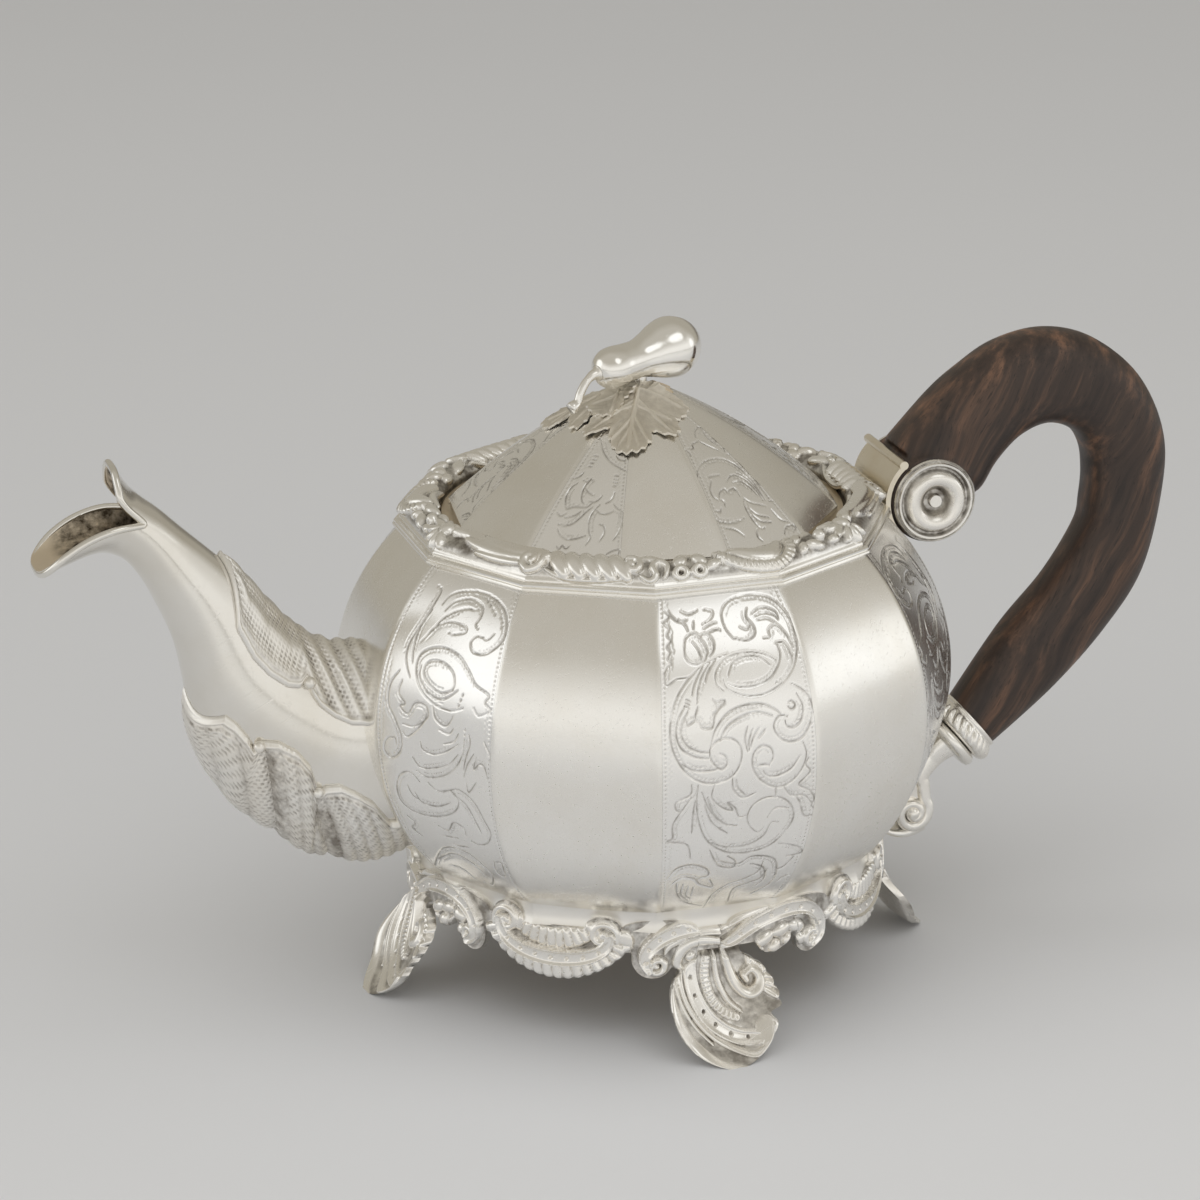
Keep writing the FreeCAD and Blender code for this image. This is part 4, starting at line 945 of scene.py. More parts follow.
# Spot, half sizes, height and turn of the border's lumps
border_lumps = [
    ((20.9, 5.2), (0.8, 0.8), 1.3, 0), ((40.9, 5.6), (0.8, 0.8), 1.4, 0), ((44.4, 8.8), (3.0, 1.3), 1.2, 20),
    ((50.4, 6.9), (2.3, 1.4), 1.2, 60), ((54.2, 6.9), (2.3, 1.4), 1.2, 120),
    ((52.3, 9.6), (2.2, 1.4), 1.2, 0), ((56.8, 4.8), (1.9, 1.2), 1.2, 30), ((78.0, 8.2), (2.6, 1.4), 1.2, 30),
    ((80.8, 4.4), (2.4, 1.3), 1.2, -30), ((77.4, 4.6), (1.6, 1.1), 1.2, 60),
    ((82.4, 9.8), (2.2, 1.2), 1.2, 0), ((86.0, 4.2), (1.5, 1.1), 1.2, 0), ((83.7, 6.4), (1.4, 1.4), 1.5, 0),
    ((92.0, 6.9), (1.9, 1.9), 1.6, 0)]
border_holes = [(7.2, 8.1), (50.2, 3.6), (53.9, 3.7), (58.0, 7.2), (85.9, 6.6)]


def border_relief(x, y):
    """Cast leaves, gadroons, flowers and shells: x runs round the rim, y from its outside over the top."""
    raised = np.zeros(x.shape)
    for turn in (-1, 0, 1):
        u = x + turn * motif_length
        for line in border_lines:
            ridge(raised, u, y, *line)
        for lump in border_lumps:
            lobe(raised, u, y, *lump)
        fluted(raised, u, y, border_rope, 1.35, 1.25, 1.15, 0.45, 0.3, 0.8)
        punch(raised, u, y, border_holes, 0.5, 0.8)
    return raised


turns = np.linspace(0, 2 * pi, border_columns + 1)
section = np.broadcast_to(border_section[:, None], (60, border_columns + 1, 2)).copy()
marks = np.concatenate([[0], np.cumsum(np.linalg.norm(np.diff(border_section, axis=0), axis=1))])
x = np.broadcast_to(((turns - motif_start) * border_radius) % motif_length, section.shape[:2])
y = np.broadcast_to(marks[:, None], section.shape[:2])
raised = border_relief(x, y)
fade = step_up(y, 0.6, 2.0) * step_up(marks[-1] - y, 0.6, 2.0)
run = np.gradient(border_section, axis=0)
outward = np.stack([run[:, 1], -run[:, 0]], 1) / np.linalg.norm(run, axis=1)[:, None]
section += outward[:, None] * ((raised - 0.45) * fade)[..., None]
bend = 1 / np.cos((turns + radians(15)) % radians(30) - radians(15))
outside = np.clip((section[..., 0] - 42.3) / 6.9, 0, 1)
reach = section[..., 0] * (1 + outside * (bend - 1) * 0.96)
places = np.stack([reach * np.cos(turns), reach * np.sin(turns), section[..., 1]], -1)
places = np.concatenate([places, places[:1]])
hollow = np.clip(1 - raised / 0.45, 0, 1) * fade * step_up(y, 1.6, 3.2)
border = weld(sheet("cast_rim_border", places, np.concatenate([hollow, hollow[:1]])), turn_out=True)
settle(border, "pot", cast_silver, "rim_border")


# Spout
def from_belly(points):
    """Side view points given from the belly's spout side, moved to their place."""
    return np.array(points, float) + (-belly_radius, belly_height)


spout_rows = [
    (9.3, 12.5, 14.3, -31.4, 13.6), (-4.5, 13.6, -3.5, -32.6, 13.6), (-12.2, 18.2, -17.5, -25.5, 13.0),
    (-16.4, 22.4, -28.0, -15.0, 11.8), (-19.6, 26.2, -34.3, -2.5, 10.4), (-24.0, 31.8, -36.0, 9.8, 9.0),
    (-28.8, 36.6, -37.7, 18.5, 8.0), (-34.3, 41.8, -40.7, 26.2, 7.3), (-39.2, 46.6, -44.3, 33.4, 7.2),
    (-43.2, 50.0, -48.6, 38.0, 7.8), (-46.0, 53.0, -55.0, 39.2, 8.8), (-49.2, 58.4, -65.2, 36.0, 9.4)]
spout_stations = smoothed(spout_rows, 16) + (-belly_radius, belly_height, -belly_radius, belly_height, 0)
lip_lower = smoothed(from_belly([(-65.2, 36.2), (-61.0, 40.4), (-55.5, 43.9), (-49.5, 45.6), (-43.2, 45.7)]))
lip_upper = smoothed(from_belly([(-43.2, 45.7), (-45.4, 48.2), (-48.4, 50.8), (-50.2, 52.8), (-51.0, 55.0),
                                 (-51.6, 59.0)]))
shell_edge = from_belly([(-37.6, 7.6), (-34.7, 6.2), (-31.1, 4.8), (-27.6, 2.2), (-25.4, -0.8), (-24.1, -3.4),
                         (-22.6, -1.4), (-19.2, -1.8), (-15.4, -4.2), (-12.9, -7.6), (-11.7, -11.8),
                         (-11.2, -13.8), (-9.9, -12.6), (-6.8, -12.6), (-3.2, -14.8), (0.4, -17.6),
                         (4.0, -23.0)])
leaf_edge = from_belly([(-30.0, 40.0), (-27.8, 31.0), (-25.6, 21.8), (-23.0, 16.2), (-20.0, 12.6),
                        (-16.4, 9.9), (-13.9, 9.4), (-12.2, 10.8), (-11.3, 7.6), (-10.0, 5.2), (-7.2, 2.6),
                        (-3.7, 0.6), (0.0, 0.0), (4.0, 0.0)])
spout_wall, lip_roll = 1.15, 0.78


def off_body(places):
    """Distance of points outside the body's panels."""
    angles = np.radians(np.arange(0, 360, panel_step))
    flat = places[..., :1] * np.cos(angles) + places[..., 1:2] * np.sin(angles)
    return flat.max(-1) - panel_radius(places[..., 2])


def in_mouth(places):
    """True where the mouth is cut away, seen from the side."""
    order = np.argsort(lip_lower[:, 0])
    above = places[..., 2] > np.interp(places[..., 0], lip_lower[order, 0], lip_lower[order, 1])
    order = np.argsort(lip_upper[:, 1])
    before = places[..., 0] < np.interp(places[..., 2], lip_upper[order, 1], lip_upper[order, 0])
    return above & before


fine_shares = np.linspace(0, 1, 2001)


def spout_points(share, turn, lift=0.0):
    """Points on the spout, whose sections grow squarer towards the lip."""
    return oval_points(spout_stations, share, turn, lift, 1 - 0.36 * step_up(share, 0.85, 0.99))


def spout_start(turn, lift=0.0, depth=-0.4):
    """Share of the spout's length at which it leaves the body, for turns round it."""
    places = oval_points(spout_stations, fine_shares[:, None], np.ravel(turn)[None, :], lift)
    out = off_body(places) > depth
    return fine_shares[np.argmax(out, 0)].reshape(np.shape(turn))


def spout_end(turn):
    """Share of the spout's length at which the lip ends, for turns round it."""
    places = spout_points(fine_shares[:, None], np.ravel(turn)[None, :])
    gone = in_mouth(places) & (fine_shares[:, None] > 0.5)
    last = np.where(gone.any(0), np.argmax(gone, 0), len(fine_shares) - 1)
    return fine_shares[last].reshape(np.shape(turn))


def softened(values, times):
    """Closed run of values with small steps evened out."""
    for _ in range(times):
        inner = values[:-1]
        inner = (np.roll(inner, 1) + 2 * inner + np.roll(inner, -1)) / 4
        values = np.append(inner, inner[0])
    return values


turn = np.linspace(2 * pi, 0, 193)
first, last = softened(spout_start(turn), 2), spout_end(turn)
arched = 0.976 - 0.04 * (9.1 * np.sin(turn) / 6.6) ** 2
last = softened(np.where(np.cos(turn) < 0, np.minimum(last, arched), last), 5)
share = np.linspace(0, 1, 136)[:, None] ** 0.9
spout_share = first + (last - first) * share
places = spout_points(spout_share, turn[None, :])
# Painted shade inside the spout: darker deeper in from the lip, but not towards the lower lip's tip.
dark_tarnish_and_painted_shade = step_up((last - spout_share) * 100, 0.6, 2.2) * step_up(places[..., 0] + belly_radius, -61.5, -57.5)
spout = sheet("beaked_spout", places)
layer = spout.data.attributes.new("dark_tarnish_and_painted_shade", "FLOAT", "POINT")
layer.data.foreach_set("value", dark_tarnish_and_painted_shade.astype(np.float32).ravel())
spout.data.materials.append(spout_silver_with_painted_shade)
spout.data.materials.append(spout_inside)
weld(spout)
wall(spout, spout_wall, inside=True)
lip = spout_points(last, turn, -0.5)
outward = spout_points(last, turn, 0.5) - lip
run = np.roll(lip[:-1], -1, 0) - np.roll(lip[:-1], 1, 0)
run = np.vstack([run, run[:1]]) / np.linalg.norm(np.vstack([run, run[:1]]), axis=1)[:, None]
outward -= (outward * run).sum(1)[:, None] * run
outward /= np.linalg.norm(outward, axis=1)[:, None]
other = np.cross(run, outward)
ring = np.linspace(0, 2 * pi, 17)[None, :, None]
around_lip = np.cos(ring) * outward[:, None] + np.sin(ring) * other[:, None]
rolled = sheet("rolled_lip", lip[:, None] + lip_roll * around_lip)
rolled.data.materials.append(spout_silver_with_painted_shade)
weld(rolled, turn_out=True)
spout = join([spout, rolled], "beaked_spout")
settle(spout, "pot", spout_silver_with_painted_shade, "spout", angle=50)


def edge_turn(edge, share, below):
    """Turn from the lower or upper side at which the side view crosses an ornament's edge."""
    turns = np.linspace(0, pi, 361)
    from_lower = (turns if below else pi - turns)[None, :]
    places = oval_points(spout_stations, np.ravel(share)[:, None], from_lower, 1.2)
    level = np.interp(places[..., 0], edge[:, 0], edge[:, 1])
    beyond = places[..., 2] > level if below else places[..., 2] < level
    return turns[np.argmax(beyond, 1)].reshape(np.shape(share))


def ornament(name, node, edge, below, tip, rows, columns, drawing, curls):
    """Skin over the spout from the body to a tip, on one side of an edge, with curls in its notches."""
    across = np.linspace(-1, 1, columns)
    shares = np.linspace(0.02, tip, 600)
    limit = edge_turn(edge, shares, below)
    limit = np.convolve(np.pad(limit, 2, mode="edge"), np.ones(5) / 5, "valid")
    limit = limit * np.clip((tip - shares) / (0.2 * tip), 0.02, 1) ** 0.6
    root = np.full(columns, 0.12)
    for _ in range(6):
        bend = across * np.interp(root, shares, limit)
        root = spout_start(np.abs(bend if below else pi - bend), 1.2, -0.3)
    along = root + (tip - root) * np.linspace(0, 1, rows)[:, None]
    bend = across * np.interp(along, shares, limit)
    turn = bend if below else pi + bend
    flat = oval_points(spout_stations, along, turn, 0.0)
    far = np.cumsum(np.linalg.norm(np.diff(flat, axis=0, prepend=flat[:1]), axis=2), 0)
    wide = np.cumsum(np.linalg.norm(np.diff(flat, axis=1, prepend=flat[:, :1]), axis=2), 1)
    wide = wide - wide[:, columns // 2:columns // 2 + 1]
    total = np.abs(wide[:, -1:])
    raised, hollow = drawing(flat, far, wide, np.maximum(total - np.abs(wide), 0.0))
    places = oval_points(spout_stations, along, turn, raised)
    under = oval_points(spout_stations, along, turn, 0.05)[:, ::10]
    pieces = [slab(name, places, under, hollow)]
    for spot, radius in curls:
        spot = from_belly([spot])[0]
        for column in (2, columns - 3):
            gaps = np.hypot(places[:, column, 0] - spot[0], places[:, column, 2] - spot[1])
            pieces.append(ball("curl", places[gaps.argmin(), column], radius))
    return settle(join(pieces, name), "pot", chased_silver, node, angle=70)


def dashes(across, down, pitch, row):
    """Rows of short chased dashes, each row half a pitch along: 1 in a dash, 0 between."""
    turn = pi * np.floor(down / row)
    strip = np.clip((np.abs(np.sin(pi * down / row)) - 0.35) * 2.2, 0, 1)
    return strip * np.clip(0.75 + 1.6 * np.sin(2 * pi * across / pitch + turn), 0, 1)


def shell_drawing(flat, far, wide, inset):
    """Three scallops of ribs that fall from a rolled edge, crossed by rows of short chased dashes."""
    lean = flat[..., 0] + 0.25 * flat[..., 2] + 0.012 * wide ** 2 * np.sign(flat[..., 0] + 75) * 0.3
    raised = np.full(lean.shape, 0.55)
    hollow = np.zeros(lean.shape)
    for left, right, ribs in ((-87.5, -71.6, 4), (-71.6, -62.2, 4), (-62.2, -45.0, 6)):
        u = (lean - left) / (right - left)
        here = (u >= 0) & (u < 1)
        swell = np.sin(pi * np.clip((u - 0.06) / 0.94, 0, 1)) ** 0.75
        rib = np.abs(np.sin(pi * ribs * u)) ** 0.8
        raised = np.where(here, 0.1 + 1.3 * swell + 0.55 * rib, raised)
        hollow = np.where(here, 0.9 * np.exp(-((u - 0.1) / 0.12) ** 2) + 0.5 * (1 - rib) ** 2, hollow)
    dash = dashes(lean, inset, 1.2, 0.92)
    clear = step_up(inset, 1.1, 2.6)
    bead = np.exp(-((inset - 0.85) / 0.62) ** 2)
    raised = 0.75 * (1 - clear) + clear * (raised - 0.17 * dash) + 0.75 * bead
    hollow = clear * np.maximum(hollow, 0.62 * dash) + 0.5 * np.exp(-((inset - 2.1) / 0.4) ** 2)
    return raised, hollow


def leaf_drawing(flat, far, wide, inset):
    """Two blades with long veins and rows of punched dashes inside a rolled edge."""
    total = np.abs(wide) + inset
    part = np.abs(wide) / np.maximum(total, 0.5)
    split = step_up(flat[..., 0] + belly_radius, -13.2, -11.2)
    vein = np.abs(np.sin(pi * (part * 2.5 + 0.25)))
    fold = np.abs(np.sin(pi * (flat[..., 0] + 0.35 * flat[..., 2]) / 3.1))
    rib = vein ** 2 * (1 - split) + fold ** 2 * split
    dash = dashes(far, np.abs(wide) + 0.15 * far, 1.0, 0.95) * (1 - 0.8 * rib)
    clear = step_up(inset, 0.9, 2.1)
    bead = np.exp(-((inset - 0.75) / 0.55) ** 2)
    scallop = 0.35 * np.abs(np.sin(pi * far / 6.4)) * (1 - part)
    raised = 0.6 + clear * (0.55 * rib - 0.2 * dash + scallop) + 0.65 * bead
    hollow = clear * (0.75 * dash + 0.25 * (1 - rib) * split) + 0.45 * np.exp(-((inset - 1.8) / 0.4) ** 2)
    return raised, hollow


shell_curls, leaf_curls = [((-23.6, -2.0), 1.3), ((-11.0, -13.0), 1.1)], [((-12.4, 9.8), 1.3)]
ornament("chased_spout_shell", "spout_shell", shell_edge, True, 0.44, 256, 261, shell_drawing, shell_curls)
ornament("chased_spout_leaf", "spout_leaf", leaf_edge, False, 0.525, 210, 161, leaf_drawing, leaf_curls)

# Handle: bow of oval sections that runs into the scroll at the rim
volute_z, volute_radius, volute_half = 99.7, 9.6, 10.0
wire_width, saddle_plate = 1.3, 1.1
volute_x = rim_radius - solder_gap + wire_width + saddle_plate + solder_gap + volute_radius
ferrule_z, grip_lean, ferrule_reach = 45.0, radians(38.5), 15.4
ferrule_x = float(panel_radius(ferrule_z)) + ferrule_reach
down = np.array([-cos(grip_lean), 0.0, -sin(grip_lean)])
bow_upper = [
    (-6.2, 10.6, 9.2, -2.6, 9.8), (3.2, 20.6, 13.2, -1.2, 9.4), (9.6, 25.6, 16.8, 4.4, 9.0),
    (17.8, 30.4, 22.2, 9.6, 8.7), (28.6, 32.4, 28.8, 11.8, 8.5), (39.4, 29.6, 35.0, 9.6, 8.4),
    (49.8, 21.0, 38.0, 4.8, 8.2), (55.8, 8.6, 38.7, -1.2, 8.1), (56.2, -4.0, 38.2, -7.0, 8.0)]
bow_lower = [(39.1, 31.8, 24.2, 42.6, 7.8), (30.6, 18.7, 17.2, 31.9, 7.4), (18.6, 6.2, 7.2, 21.0, 7.0)]
grip_end = 6.6
side_x, side_z = grip_end * np.array([sin(grip_lean), -cos(grip_lean)])
bow_last = (ferrule_x + side_x, ferrule_z + side_z, ferrule_x - side_x, ferrule_z - side_z, grip_end)
bow_rows = np.vstack([np.array(bow_upper) + (volute_x, volute_z, volute_x, volute_z, 0),
                      np.array(bow_lower) + (ferrule_x, ferrule_z, ferrule_x, ferrule_z, 0), [bow_last]])
bow_stations = smoothed(bow_rows, 14)
turn = np.linspace(0, 2 * pi, 73)
share = np.linspace(0, 1, 190)[:, None]
bow = weld(sheet("bow", oval_points(bow_stations, share, turn[None, :], 0.0, 0.84)), cap=True, turn_out=True)
scroll_bevel = 0.5
scroll_profile = [(-volute_half, 0), (-volute_half, volute_radius - scroll_bevel),
                  (-volute_half + scroll_bevel, volute_radius), (volute_half - scroll_bevel, volute_radius),
                  (volute_half, volute_radius - scroll_bevel), (volute_half, 0)]
scroll_end = lathe("scroll_end", scroll_profile, (volute_x, 0, volute_z), (0, 1, 0), 96)
handle = join([bow, scroll_end], "carved_handle")
work(handle, "REMESH", mode="VOXEL", voxel_size=0.55 * MM)
work(handle, "SMOOTH", factor=0.5, iterations=6)
settle(handle, "pot", handle_wood, "handle", slot="wood")

# Height, radius and tarnish of the boss, from its middle to its edge
boss_rows = np.array([
    (1.35, 0, 0.25), (1.3, 0.8, 0.3), (1.0, 1.15, 0.7), (0.4, 1.25, 1), (0.15, 1.5, 1), (0.1, 2.3, 1),
    (0.5, 2.75, 1), (1.4, 3.1, 0.7), (2.1, 3.7, 0.25), (2.5, 4.5, 0), (2.6, 5.2, 0), (2.4, 5.9, 0),
    (1.8, 6.45, 0.3), (1.0, 6.7, 0.9), (0.7, 6.95, 1), (0.7, 7.35, 1), (1.1, 7.6, 0.8), (1.5, 7.8, 0.2),
    (1.55, 8.2, 0), (1.2, 8.45, 0.3), (0.9, 8.5, 1), (0.85, 8.65, 1), (1.0, 8.85, 0.3), (0.7, 9.1, 0),
    (0.3, 9.1, 0), (0.0, 8.9, 0), (0.0, 0, 0)])
for node, side in (("volute_boss_front", -1), ("volute_boss_back", 1)):
    boss_place = (volute_x, side * (volute_half + solder_gap), volute_z)
    boss = lathe("dished_" + node, boss_rows[:, :2], boss_place, (0, side, 0), hollow=boss_rows[:, 2])
    settle(boss, "pot", cast_silver, node, angle=40)

# Lower socket
ferrule_place = (ferrule_x, 0, ferrule_z)


def gadroon(far, turn):
    """Oblique lobes round the ferrule."""
    belly = np.sin(pi * np.clip((far - 0.5) / 3.6, 0, 1))
    return 0.75 * belly * (np.abs(np.sin(12 * turn + 0.9 * far)) ** 0.55 - 0.8)


ferrule_profile = evenly(smoothed([(-0.6, 6.75), (-0.5, 7.2), (0.1, 7.35), (0.5, 7.2), (1.2, 7.8),
                                   (2.6, 8.35), (3.8, 8.1), (4.4, 7.3), (4.6, 6.6)], 6), 42)
ferrule_run = np.vstack([[(4.6, 0)], ferrule_profile[::-1], [(-0.6, 0)]])
ferrule = lathe("gadrooned_ferrule", ferrule_run, ferrule_place, down, 240, gadroon)
settle(ferrule, "pot", cast_silver, "lower_ferrule", angle=60)
knop_run = [(4.65, 0), (4.65, 5.7), (5.0, 6.7), (5.7, 7.2), (6.5, 7.2), (7.2, 6.7), (7.6, 5.8), (7.65, 0)]
knop = lathe("turned_knop", knop_run, ferrule_place, down)
settle(knop, "pot", polished_silver, "lower_knop", angle=40)

# Scroll bracket under the knop
scroll_x, scroll_z = float(panel_radius(35.0)) + 7.4, ferrule_z - 4.6 - 14.2
knop_tip = np.array([ferrule_x, ferrule_z]) + 7.4 * down[[0, 2]]
band = [tuple(knop_tip), (knop_tip[0] - 2.2, knop_tip[1] - 1.7), (scroll_x + 2.6, scroll_z + 8.2),
        (scroll_x + 2.8, scroll_z + 5.8)]
band += [(scroll_x + x, scroll_z + z) for x, z in curl((0, 0), 4.1, 1.6, 40, -1, 0.12, 22)]
band = evenly(smoothed(band, 8), 190)
part = np.linspace(0, 1, 190)
wide = np.interp(part, (0, 0.12, 0.25, 0.45, 0.8, 1), (3.4, 2.8, 3.0, 3.6, 4.3, 4.9))
thick = np.interp(part, (0, 0.1, 0.25, 0.5, 1), (3.2, 2.5, 1.9, 1.5, 1.2))
tail = evenly(smoothed([(scroll_x + 2.6, scroll_z - 3.4), (scroll_x - 0.8, scroll_z - 4.9),
                        (scroll_x - 4.2, scroll_z - 4.6), (scroll_x - 7.2, scroll_z - 2.8)], 8), 40)
heights = np.linspace(39.0, 30.7, 12)
web = [(float(panel_radius(z)) + 0.15, z) for z in heights]
web += [(scroll_x - 2.4, scroll_z + 1.6), (scroll_x + 1.5, scroll_z + 2.6), (scroll_x + 2.6, scroll_z + 5.4),
        (scroll_x + 2.8, scroll_z + 8.4), tuple(knop_tip - (3.2, 0.9))]
web = np.array(web + web[:1])
web = np.stack([np.stack([web[:, 0], np.full(len(web), y), web[:, 1]], -1) for y in (-2.2, 2.2)], 1)
root = [float(panel_radius(38.0)) + 1.2, 0, 38.0]
bracket_pieces = [bar("band", band, thick, wide),
                  bar("tail", tail, np.linspace(1.5, 0.6, 40), np.linspace(3.4, 2.4, 40)),
                  weld(sheet("web", web), cap=True, turn_out=True)]
bracket_pieces += [ball("bead", np.array(root) + (0, y, 0), 1.35) for y in (-1.9, 1.9)]
bracket_pieces += [ball("eye", (scroll_x, y, scroll_z), 1.7) for y in (-3.3, 3.3)]
bracket = join(bracket_pieces, "scroll_bracket")
settle(bracket, "pot", cast_silver, "lower_scroll", angle=50)

# Finial
pear_small, pear_large, pear_length, pear_back = 4.65, 6.3, 15.5, 7.25
pear_tilt = asin((pear_large - pear_small) / pear_length)
pear_seat = 128.55
lean = radians(lid_turn)
pear_way = np.array([cos(pear_tilt) * cos(lean), cos(pear_tilt) * sin(lean), sin(pear_tilt)])
pear_start = np.array([-pear_back * cos(lean), -pear_back * sin(lean), pear_seat + pear_small])
pear_line = smoothed([(-4.65, 0.0), (-4.5, 1.3), (-3.6, 3.0), (-1.8, 4.15), (0.4, 4.4), (3.0, 4.15),
                      (6.2, 4.05), (9.4, 4.9), (12.4, 6.0), (15.5, 6.5), (18.6, 5.5), (20.6, 3.8),
                      (21.55, 1.9), (21.75, 0.9), (21.5, 0.35), (21.35, 0.0)], 6)
pear = lathe("pear", pear_line, pear_start, pear_way, 96)
settle(pear, "lid", burnished_silver, "finial_pear")

stem_root = pear_start - 4.4 * pear_way
back = np.array([cos(lean), sin(lean), 0.0])
stem_steps = [(0, 0), (1.5, 0.3), (3.3, 1.6), (4.6, 3.5), (5.4, 5.3), (7.2, 6.3)]
stem_path = smoothed([stem_root - out * back - (0, 0, fall) for out, fall in stem_steps], 8)
run = np.gradient(stem_path, axis=0)
run /= np.linalg.norm(run, axis=1)[:, None]
across = np.cross(back, (0, 0, 1))
over = np.cross(across, run)
turn = np.linspace(0, 2 * pi, 25)
thick = np.interp(np.linspace(0, 1, len(stem_path)), (0, 0.1, 0.3, 0.8, 0.92, 1),
                  (1.7, 1.15, 0.85, 0.95, 1.35, 1.2))
places = stem_path[:, None] + thick[:, None, None] * (np.cos(turn)[None, :, None] * across
                                                      + np.sin(turn)[None, :, None] * over[:, None])
stem = weld(sheet("pear_stem", places), cap=True, turn_out=True)
settle(stem, "lid", cast_silver, "finial_stem")


def on_lid(x, y):
    """Height of the lid's outside under points of the plan."""
    angles = np.radians(lid_turn + np.arange(0, 360, panel_step))
    flat = x[..., None] * np.cos(angles) + y[..., None] * np.sin(angles)
    return lid_height(flat.max(-1))


leaf_marks = [0, 12, 22, 30, 37, 46, 56, 66, 74, 82, 92, 104, 116, 128, 150, 180]
leaf_reach = [11.6, 11.1, 9.9, 8.9, 7.0, 8.7, 10.8, 10.5, 9.0, 8.0, 9.4, 11.0, 10.0, 8.6, 7.8, 7.4]
leaf_middle, leaf_spread, leaf_lift, leaf_thickness = 8.6, 42, 0.55, 0.5
# Start on the middle vein, angle of the tip and its distance, for the side veins
side_veins = ((6.5, 57, 10.2), (4.0, 104, 10.2), (11.0, 24, 9.4), (8.5, 74, 8.2), (13.5, 12, 10.4))
turn = np.linspace(-180, 180, 361)[:, None]
part = np.linspace(0, 1, 37)[None, :]
teeth = 1.3 * np.abs((turn / 9.6) % 1 - 0.5) + 0.35 * np.sin(np.radians(turn) * 5 + 0.8)
edge = np.interp(np.abs(turn), leaf_marks, leaf_reach) + teeth
edge[-1] = edge[0]
leaf_pieces = []
for leaf_side in (-1, 1):
    x = leaf_middle + edge * part * np.cos(np.radians(turn))
    y = edge * part * np.sin(np.radians(turn))
    veins = np.zeros(x.shape)
    ridge(veins, x, y, [(0.5, 0), (19.4, 0)], 0.6, 0.42, 0.6)
    for start, tip, size in side_veins:
        for flip in (-1, 1):
            end = (leaf_middle + size * cos(radians(tip)), flip * size * sin(radians(tip)))
            ridge(veins, x, y, [(start, 0), ((start + end[0]) / 2 - 0.3, end[1] * 0.45), end], 0.4, 0.3)
    lift = 0.95 * part ** 3 * (0.4 + 0.6 * np.abs(np.sin(np.radians(turn) * 3.5 + leaf_side)))
    a = radians(lid_turn + 180 + leaf_side * leaf_spread)
    plan_x, plan_y = x * cos(a) - y * sin(a), x * sin(a) + y * cos(a)
    level = on_lid(plan_x, plan_y) + leaf_lift + veins + lift
    places = np.stack([plan_x, plan_y, level], -1)
    under = places[:, ::-9] - (0, 0, leaf_thickness)
    hollow = np.clip(0.5 - veins * 1.6 - 0.5 * part ** 6, 0, 1)
    hollow = np.concatenate([hollow, np.zeros((361, under.shape[1]))], 1)
    leaf_pieces.append(weld(sheet("leaf", np.concatenate([places, under], 1), hollow), turn_out=True))
leaves = join(leaf_pieces, "pear_leaves")
settle(leaves, "lid", leaf_silver, "finial_leaves", angle=60)

# Foot ring and the frieze under it
apron_radius = 50.3
quarter = apron_radius * pi / 2
ring_bottom = 26.0
ring_profile = [(-2.9, ring_bottom), (0.1, ring_bottom), (-0.25, 26.8), (-0.5, 27.8), (-0.5, 28.8),
                (-0.3, 29.8), (0, base_height), (-2.9, base_height)]
ring = ring_of_panels("coved_foot_ring", [(base_radius + out, height) for out, height in ring_profile])
settle(ring, "pot", satin_silver, "foot_ring", angle=30)
cartouche_x = apron_radius * radians(50)
near_x, far_x = apron_radius * radians(24), apron_radius * radians(77)


def apron_outline(x):
    """Lower and upper edge of the frieze, at lengths from one foot to the next."""
    low = np.full(x.shape, 21.4)
    c = x - cartouche_x
    arc = (15.6 ** 2 + 6.8 ** 2) / (2 * 6.8)
    hung = 14.6 + arc - np.sqrt(np.clip(arc ** 2 - c ** 2, 0, None))
    flutes = 0.45 * np.abs(np.sin(pi * c / 2.25)) ** 0.7
    low = np.where(np.abs(c) < 15.6, np.minimum(low, hung + 0.25 - flutes), low)
    for spot, size, bottom in ((near_x + 1.4, 4.2, 16.0), (near_x - 8.5, 4.6, 18.2), (far_x - 2.6, 4.4, 15.6),
                               (far_x + 3.4, 3.4, 17.4)):
        d = x - spot
        round_low = bottom + size - np.sqrt(np.clip(size ** 2 - d ** 2, 0, None))
        low = np.where(np.abs(d) < size, np.minimum(low, round_low), low)
    high = np.full(x.shape, ring_bottom + 0.2)
    for spot, size, top in ((cartouche_x - 10.8, 4.0, 29.3), (cartouche_x + 10.8, 4.0, 28.6),
                            (near_x - 6.0, 13.0, 28.9), (far_x - 1.0, 8.0, 28.2)):
        d = (x - spot) / size
        high = np.maximum(high, ring_bottom + 0.2 + (top - ring_bottom) * np.clip(1 - d * d, 0, 1) ** 0.5)
    return low, high


